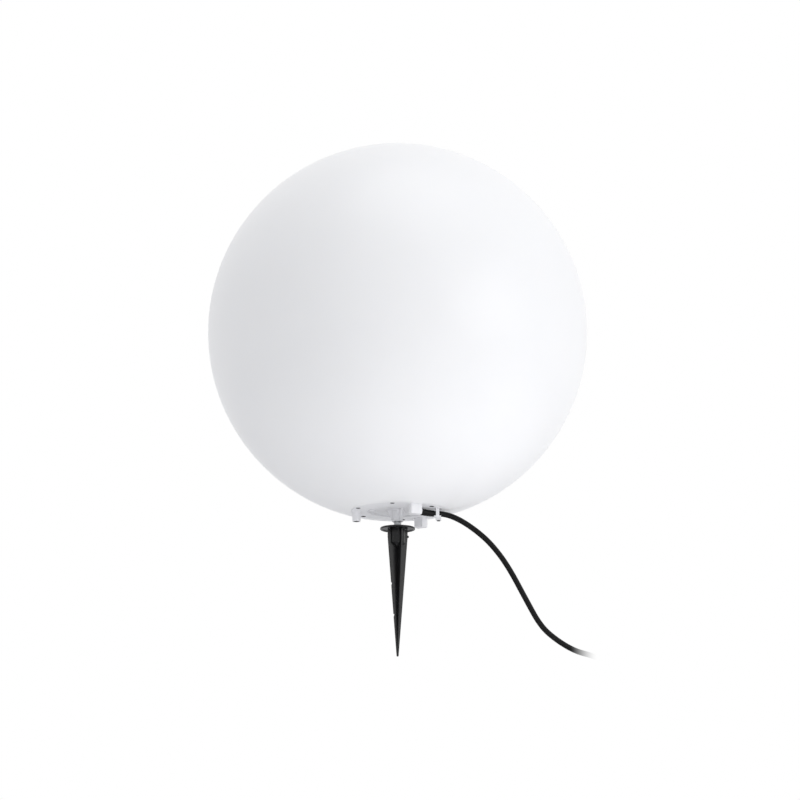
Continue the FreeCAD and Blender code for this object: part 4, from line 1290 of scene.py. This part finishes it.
# ---- Base plate -------------------------------------------------------------------------------
@dataclass
class BasePlate:
    """The plate that closes the globe: recess, upstand, boss, gussets, feet, posts and duct.

    Args:
        low: underside of the plate, in millimetres.
        radius: of the plate.
        recess: depth of the recess in the underside.
        rim_t: thickness of the plate's rim.
        floor_t: from the underside to the plate's floor inside the upstand.
        upstand: outer radius, inner radius and height of the upstand above the rim.
        recess_r: radius of the recess in the underside.
        bore_r: radius of the stud's hole.
        boss_z: lower end of the boss.
        boss_r: radius of the boss.
        foot_z: lower end of the feet and of the round post.
        feet: directions of the two feet, in degrees.
        post_angle: direction of the round post.
        post_circle: distance of the round post from the axis.
        post_bore: radius and depth of the bore in the round post.
        clip_post: plan place of the slim post that holds the lead's clip.
        clip_post_h: its height.
        ring_mark: plan place of the small moulded ring in the recess.
        duct: points and bends of the lead's way in.
        duct_r: inner and outer radius of the duct.
        ring: the places of the screws.
        screw_proud: how far the screw heads stand out of the plate.
        bracket_x: distance of the bracket's screws from the axis.
        into: how far the mouldings reach into the plate.
    """

    low: float = PLATE_LOW
    radius: float = 61.0
    recess: float = 2.0
    rim_t: float = 3.0
    floor_t: float = 5.0
    upstand: tuple[float, float, float] = (47.0, 44.5, 10.0)
    recess_r: float = 39.6
    bore_r: float = 5.1
    boss_z: float = 180.4
    boss_r: float = 7.0
    foot_z: float = 181.5
    feet: tuple[float, float] = (295.5, 55.5)
    post_angle: float = 176.6
    post_circle: float = 54.3
    post_bore: tuple[float, float] = (4.0, 9.0)
    clip_post: tuple[float, float] = (54.0, -1.0)
    clip_post_h: float = 11.0
    ring_mark: tuple[float, float] = (-34.0, 2.6)
    duct: tuple[tuple[float, float, float, float], ...] = (
        (30.0, -26.6, 189.2, 0.0), (18.92, -33.34, 190.71, 9.0), (18.92, -33.34, 205.5, 0.0))
    duct_r: tuple[float, float] = (3.85, 5.1)
    ring: ScrewRing = ScrewRing()
    screw_proud: float = 0.3
    bracket_x: float = 34.0
    into: float = 0.02

    def levels(self) -> tuple[float, float, float]:
        """Heights of the recess's roof, of the rim's top and of the floor inside the upstand."""
        return self.low + self.recess, self.low + self.rim_t, self.low + self.floor_t

    def disc(self) -> Piece:
        """The turned plate with its upstand, and the holes in it.

        Returns:
            The plate without its mouldings.
        """
        low, (roof, top, floor), (outer_r, inner_r, rise) = self.low, self.levels(), self.upstand
        profile = rounded([(self.bore_r, roof, 0.0), (self.recess_r, roof, 0.5), (self.recess_r, low, 0.5),
                           (self.radius, low, 0.8), (self.radius, top, 0.4), (outer_r, top, 0.6),
                           (outer_r, top + rise, 0.5), (inner_r, top + rise, 0.5), (inner_r, floor, 0.8),
                           (self.bore_r, floor, 0.3)])
        plate = Shell().lathe(profile, 144).to_object("plate_disc")
        hole = [(0.0, low - 1), (3.45, low - 1), (3.2, low + 0.15), (3.2, low + 1.8), (2.1, low + 1.8),
                (2.1, top + 2), (0.0, top + 2)]
        cutters = [Shell().lathe(hole, 32, closed=False, centre=at).to_object("screw_hole")
                   for at in self.ring.places()]
        duct = Shell().tube(rounded(self.duct, 9, closed=False), self.duct_r[0])
        cutters.append(duct.to_object("duct_bore"))
        return cut_out(plate, cutters)

    def post(self, bottom: float, bore: tuple[float, float], radii: tuple[float, ...],
             soft: tuple[float, ...]) -> Array:
        """Profile of a hollow post under the plate.

        Args:
            bottom: its lower end.
            bore: radius and depth of its bore.
            radii: at its lower end, under the plate and at its root in the plate.
            soft: roundings of the mouth, the edge, the fillet at the plate and the bore's end.

        Returns:
            The rounded profile.
        """
        joint, buried = self.low + self.into, self.low + 1
        (bore_r, bore_h), (below, above, root), (mouth, edge, fillet, end) = bore, radii, soft
        return rounded([(bore_r, bottom, mouth), (below, bottom, edge), (above, joint, fillet),
                        (root, joint, 0.0), (root, buried, 0.0), (0.0, buried, 0.0),
                        (0.0, bottom + bore_h, 0.0), (bore_r, bottom + bore_h, end)])

    def underside(self) -> Shell:
        """Boss, gussets, feet, posts, ring mark and duct under the plate.

        Returns:
            The shell of all of them.
        """
        roof, top, _ = self.levels()
        joint = roof + self.into
        shell = Shell().lathe(rounded([
            (self.bore_r, self.boss_z, 0.3), (self.boss_r, self.boss_z, 0.5), (self.boss_r, joint, 1.2),
            (9.5, joint, 0.0), (9.5, top, 0.0), (self.bore_r, top, 0.0)]), 64)
        web = np.array([(0.0, self.boss_z + 0.6), (self.boss_r, self.boss_z + 0.6), (14.5, roof),
                        (14.5, top), (0.0, top)])
        for angle in (*self.feet, self.post_angle):
            shell.merge(Shell().prism(web, -1.2, 1.2, edge=0.3).placed(UPRIGHT).turned(angle))
        plan = rounded([(48.0, -6.7, 1.2), (58.5, -8.1, 1.2), (58.5, 8.1, 1.2), (48.0, 6.7, 1.2)])
        for angle in self.feet:
            foot = Shell().prism(plan, self.foot_z, self.low + self.into, edge=0.45, flare=0.8)
            shell.merge(foot.turned(angle))
        peg_post = self.post(self.foot_z, self.post_bore, (5.3, 5.8, 8.5), (0.3, 0.4, 1.0, 0.3))
        shell.lathe(peg_post, 48, centre=polar(self.post_circle, self.post_angle))
        slim = self.post(self.low - self.clip_post_h, (1.8, 9.0), (3.4, 3.4, 5.5), (0.2, 0.35, 0.8, 0.0))
        shell.lathe(slim, 40, centre=self.clip_post)
        shell.lathe(rounded([(3.4, roof - 1.7, 0.3), (4.9, roof - 1.7, 0.35), (4.9, roof + 0.5, 0.0),
                             (3.4, roof + 0.5, 0.0)]), 48, centre=self.ring_mark)
        bore, outside = self.duct_r
        return shell.tube(rounded(self.duct, 9, closed=False), outside, bore=bore)

    def upper_side(self) -> Shell:
        """Pads round the globe's screws and under the bridge bracket.

        Returns:
            The shell of all pads.
        """
        _, top, floor = self.levels()
        shell = Shell()
        for at in self.ring.places():
            shell.lathe(rounded([(2.1, top - 0.5, 0.0), (5.0, top - 0.5, 0.0), (5.0, top + 1.2, 0.3),
                                 (2.1, top + 1.2, 0.2)]), 40, centre=at)
        for side in (-1, 1):
            shell.lathe(rounded([(1.9, floor - 1, 0.0), (4.0, floor - 1, 0.0), (4.0, floor + 3, 0.4),
                                 (1.9, floor + 3, 0.3)]), 40, centre=(side * self.bracket_x, 0.0))
        return shell

    def build(self) -> Piece:
        """Makes the plate, standing for its node; the post's bore and screw holes get painted shade.

        Returns:
            The plate.
        """
        parts = [self.disc(), self.underside().to_object("below"), self.upper_side().to_object("above")]
        plate = stand_for(joined("plate", parts), "base_plate")
        peg = polar(self.post_circle, self.post_angle)
        # the plan place, radius and levels of each hole's walls, which get painted shade
        holes = [(peg, self.post_bore[0] + 0.05, self.foot_z + 0.4, self.foot_z + 9.5)]
        holes += [(at, 3.42, self.low + 0.1, self.low + 2.6) for at in self.ring.places()]
        x, y, z = face_centres(plate).T
        dark = np.zeros(len(z), bool)
        for at, radius, start, end in holes:
            dark |= (np.hypot(x - at[0], y - at[1]) < radius) & (start < z) & (z < end)
        # faces inside the holes get near-black painted shade
        refinish(plate, dark, BORE_SHADE)
        return plate

    def screws(self) -> Piece:
        """Six pan-head screws with cross slots, let into the plate but for their crowns.

        Returns:
            The screws, as one piece.
        """
        under, radius, slot_x, slot_y = self.low - self.screw_proud, 2.9, 2.1, 0.4
        top = under + 2.1
        head = rounded([(0.0, under, 0.0), (radius, under, 0.5), (radius, top, 0.15), (0.0, top, 0.0)])
        slot = np.array([(-slot_x, -slot_y), (slot_x, -slot_y), (slot_x, slot_y), (-slot_x, slot_y)])
        form = Thread(radius=2.0, depth=0.35, pitch=0.9, rows=6)
        parts = []
        for at in self.ring.places():
            one = Shell().lathe(head, 40).to_object("screw_head")
            cut_out(one, [Shell().prism(slot, under - 1, under + 0.7).turned(angle).to_object("slot")
                          for angle in (0, 90)])
            shank = Shell().thread(form, under + 2.0, self.low + 13.5, bevel=0.3, steps=20)
            for part in (one, shank.to_object("shank", smooth_angle=50)):
                part.data.transform(Matrix.Translation((at[0] * MM, at[1] * MM, 0)))
                parts.append(part)
        # their finish is steel darkened as painted shade
        return stand_for(joined("sunk_screws", parts), "plate_screws")


# ---- Lamp holder and bulb ---------------------------------------------------------------------
def lamp_threads() -> None:
    """The rolled threads of the holder's brass shell and of the bulb's cap."""
    shell = Shell().thread(Thread(radius=14.25, depth=0.5, pitch=3.62, knuckle=True, rows=12),
                           low=235.6, high=257.4, wall=0.35, steps=72)
    stand_for(shell.to_object("rolled_shell", smooth_angle=60), "screw_shell")
    cap = Shell().thread(Thread(radius=13.1, depth=0.85, pitch=3.62, knuckle=True, rows=12),
                         low=242.5, high=262.0, bevel=1.6, steps=72)
    cap.lathe(rounded([(0.0, 238.5, 0.0), (9.7, 238.5, 0.8), (9.7, 240.5, 0.0), (12.4, 243.2, 0.6),
                       (12.4, 261.0, 0.0), (13.2, 261.6, 0.2), (13.2, 263.5, 0.2), (0.0, 263.5, 0.0)]), 72)
    stand_for(cap.to_object("rolled_cap", smooth_angle=60), "bulb_cap")


# ---- Coil ties --------------------------------------------------------------------------------
@dataclass
class CoilTies:
    """Two woven ties with rounded corners, drawn round the bundle of turns.

    Args:
        angles: where they sit on the coil, in degrees.
        width: of a tie, in millimetres.
        thickness: of a tie.
        inner_gap: play on the side of the coil's middle.
        outer_gap: play on the far side.
        level_gap: play above and below the turns.
    """

    angles: tuple[float, float] = (-75.0, 15.0)
    width: float = 9.0
    thickness: float = 0.8
    inner_gap: float = 0.7
    outer_gap: float = 0.5
    level_gap: float = 0.2

    def build(self, lead: MainsLead) -> Piece:
        """Makes the ties and lets them stand for their node.

        Where a tie lies, each turn's radius comes from the coil's own rule, and the tie goes round
        the nearest and the farthest one.

        Args:
            lead: whose coil they hold.

        Returns:
            The piece.
        """
        half = lead.diameter / 2
        bend = half + self.level_gap
        low, high = lead.coil_z - bend, lead.coil_z + lead.coil_pitch + bend
        whole = round(2 * lead.coil_turns)
        across = np.array((-0.5, -0.5, 0.5, 0.5)) * self.width
        shell = Shell()
        for angle in self.angles:
            radii = lead.coil_radius(np.arange(whole) + (angle - lead.coil_start) / 360 % 1)
            near, far = radii.min() - half - self.inner_gap, radii.max() + half + self.outer_gap
            inner = rounded([(near, low, bend), (far, low, bend), (far, high, bend), (near, high, bend)], 9)
            lap = [inset(inner, -depth) for depth in (0.0, self.thickness, self.thickness, 0.0)]
            rows = [np.column_stack((p[:, 0], np.full(len(p), y), p[:, 1])) for p, y in zip(lap, across)]
            shell.merge(Shell().grid(np.array(rows), wrap_rows=True).turned(angle))
        move = Matrix.Translation((*lead.coil_centre, 0.0))
        return stand_for(shell.placed(move).to_object("woven_ties"), "coil_ties")


# ---- Everything else --------------------------------------------------------------------------
def dress_nodes() -> None:
    """Gives every CAD node that still shows its finish."""
    for name, node in frame["nodes"].items():
        if node.hide_render:
            continue
        finish = finish_of_node(name)
        paint(node, finish)
        log.info("%s finished as %s", name, finish.name)


def main() -> None:
    """Builds the studio and the lamp, piece by piece."""
    logging.basicConfig(level=logging.INFO, format="%(name)s: %(message)s")
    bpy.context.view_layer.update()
    Studio().build()
    lead = MainsLead()
    cord = lead.build()
    pieces = [lead.sleeve(), CoilTies().build(lead)]
    Globe().build()
    Spike().build()
    threaded_stud()
    plate = BasePlate()
    plate.build()
    plate.screws()
    lamp_threads()
    dress_nodes()
    bpy.context.scene.view_settings.view_transform = "Standard"


if __name__ == "__main__":
    main()
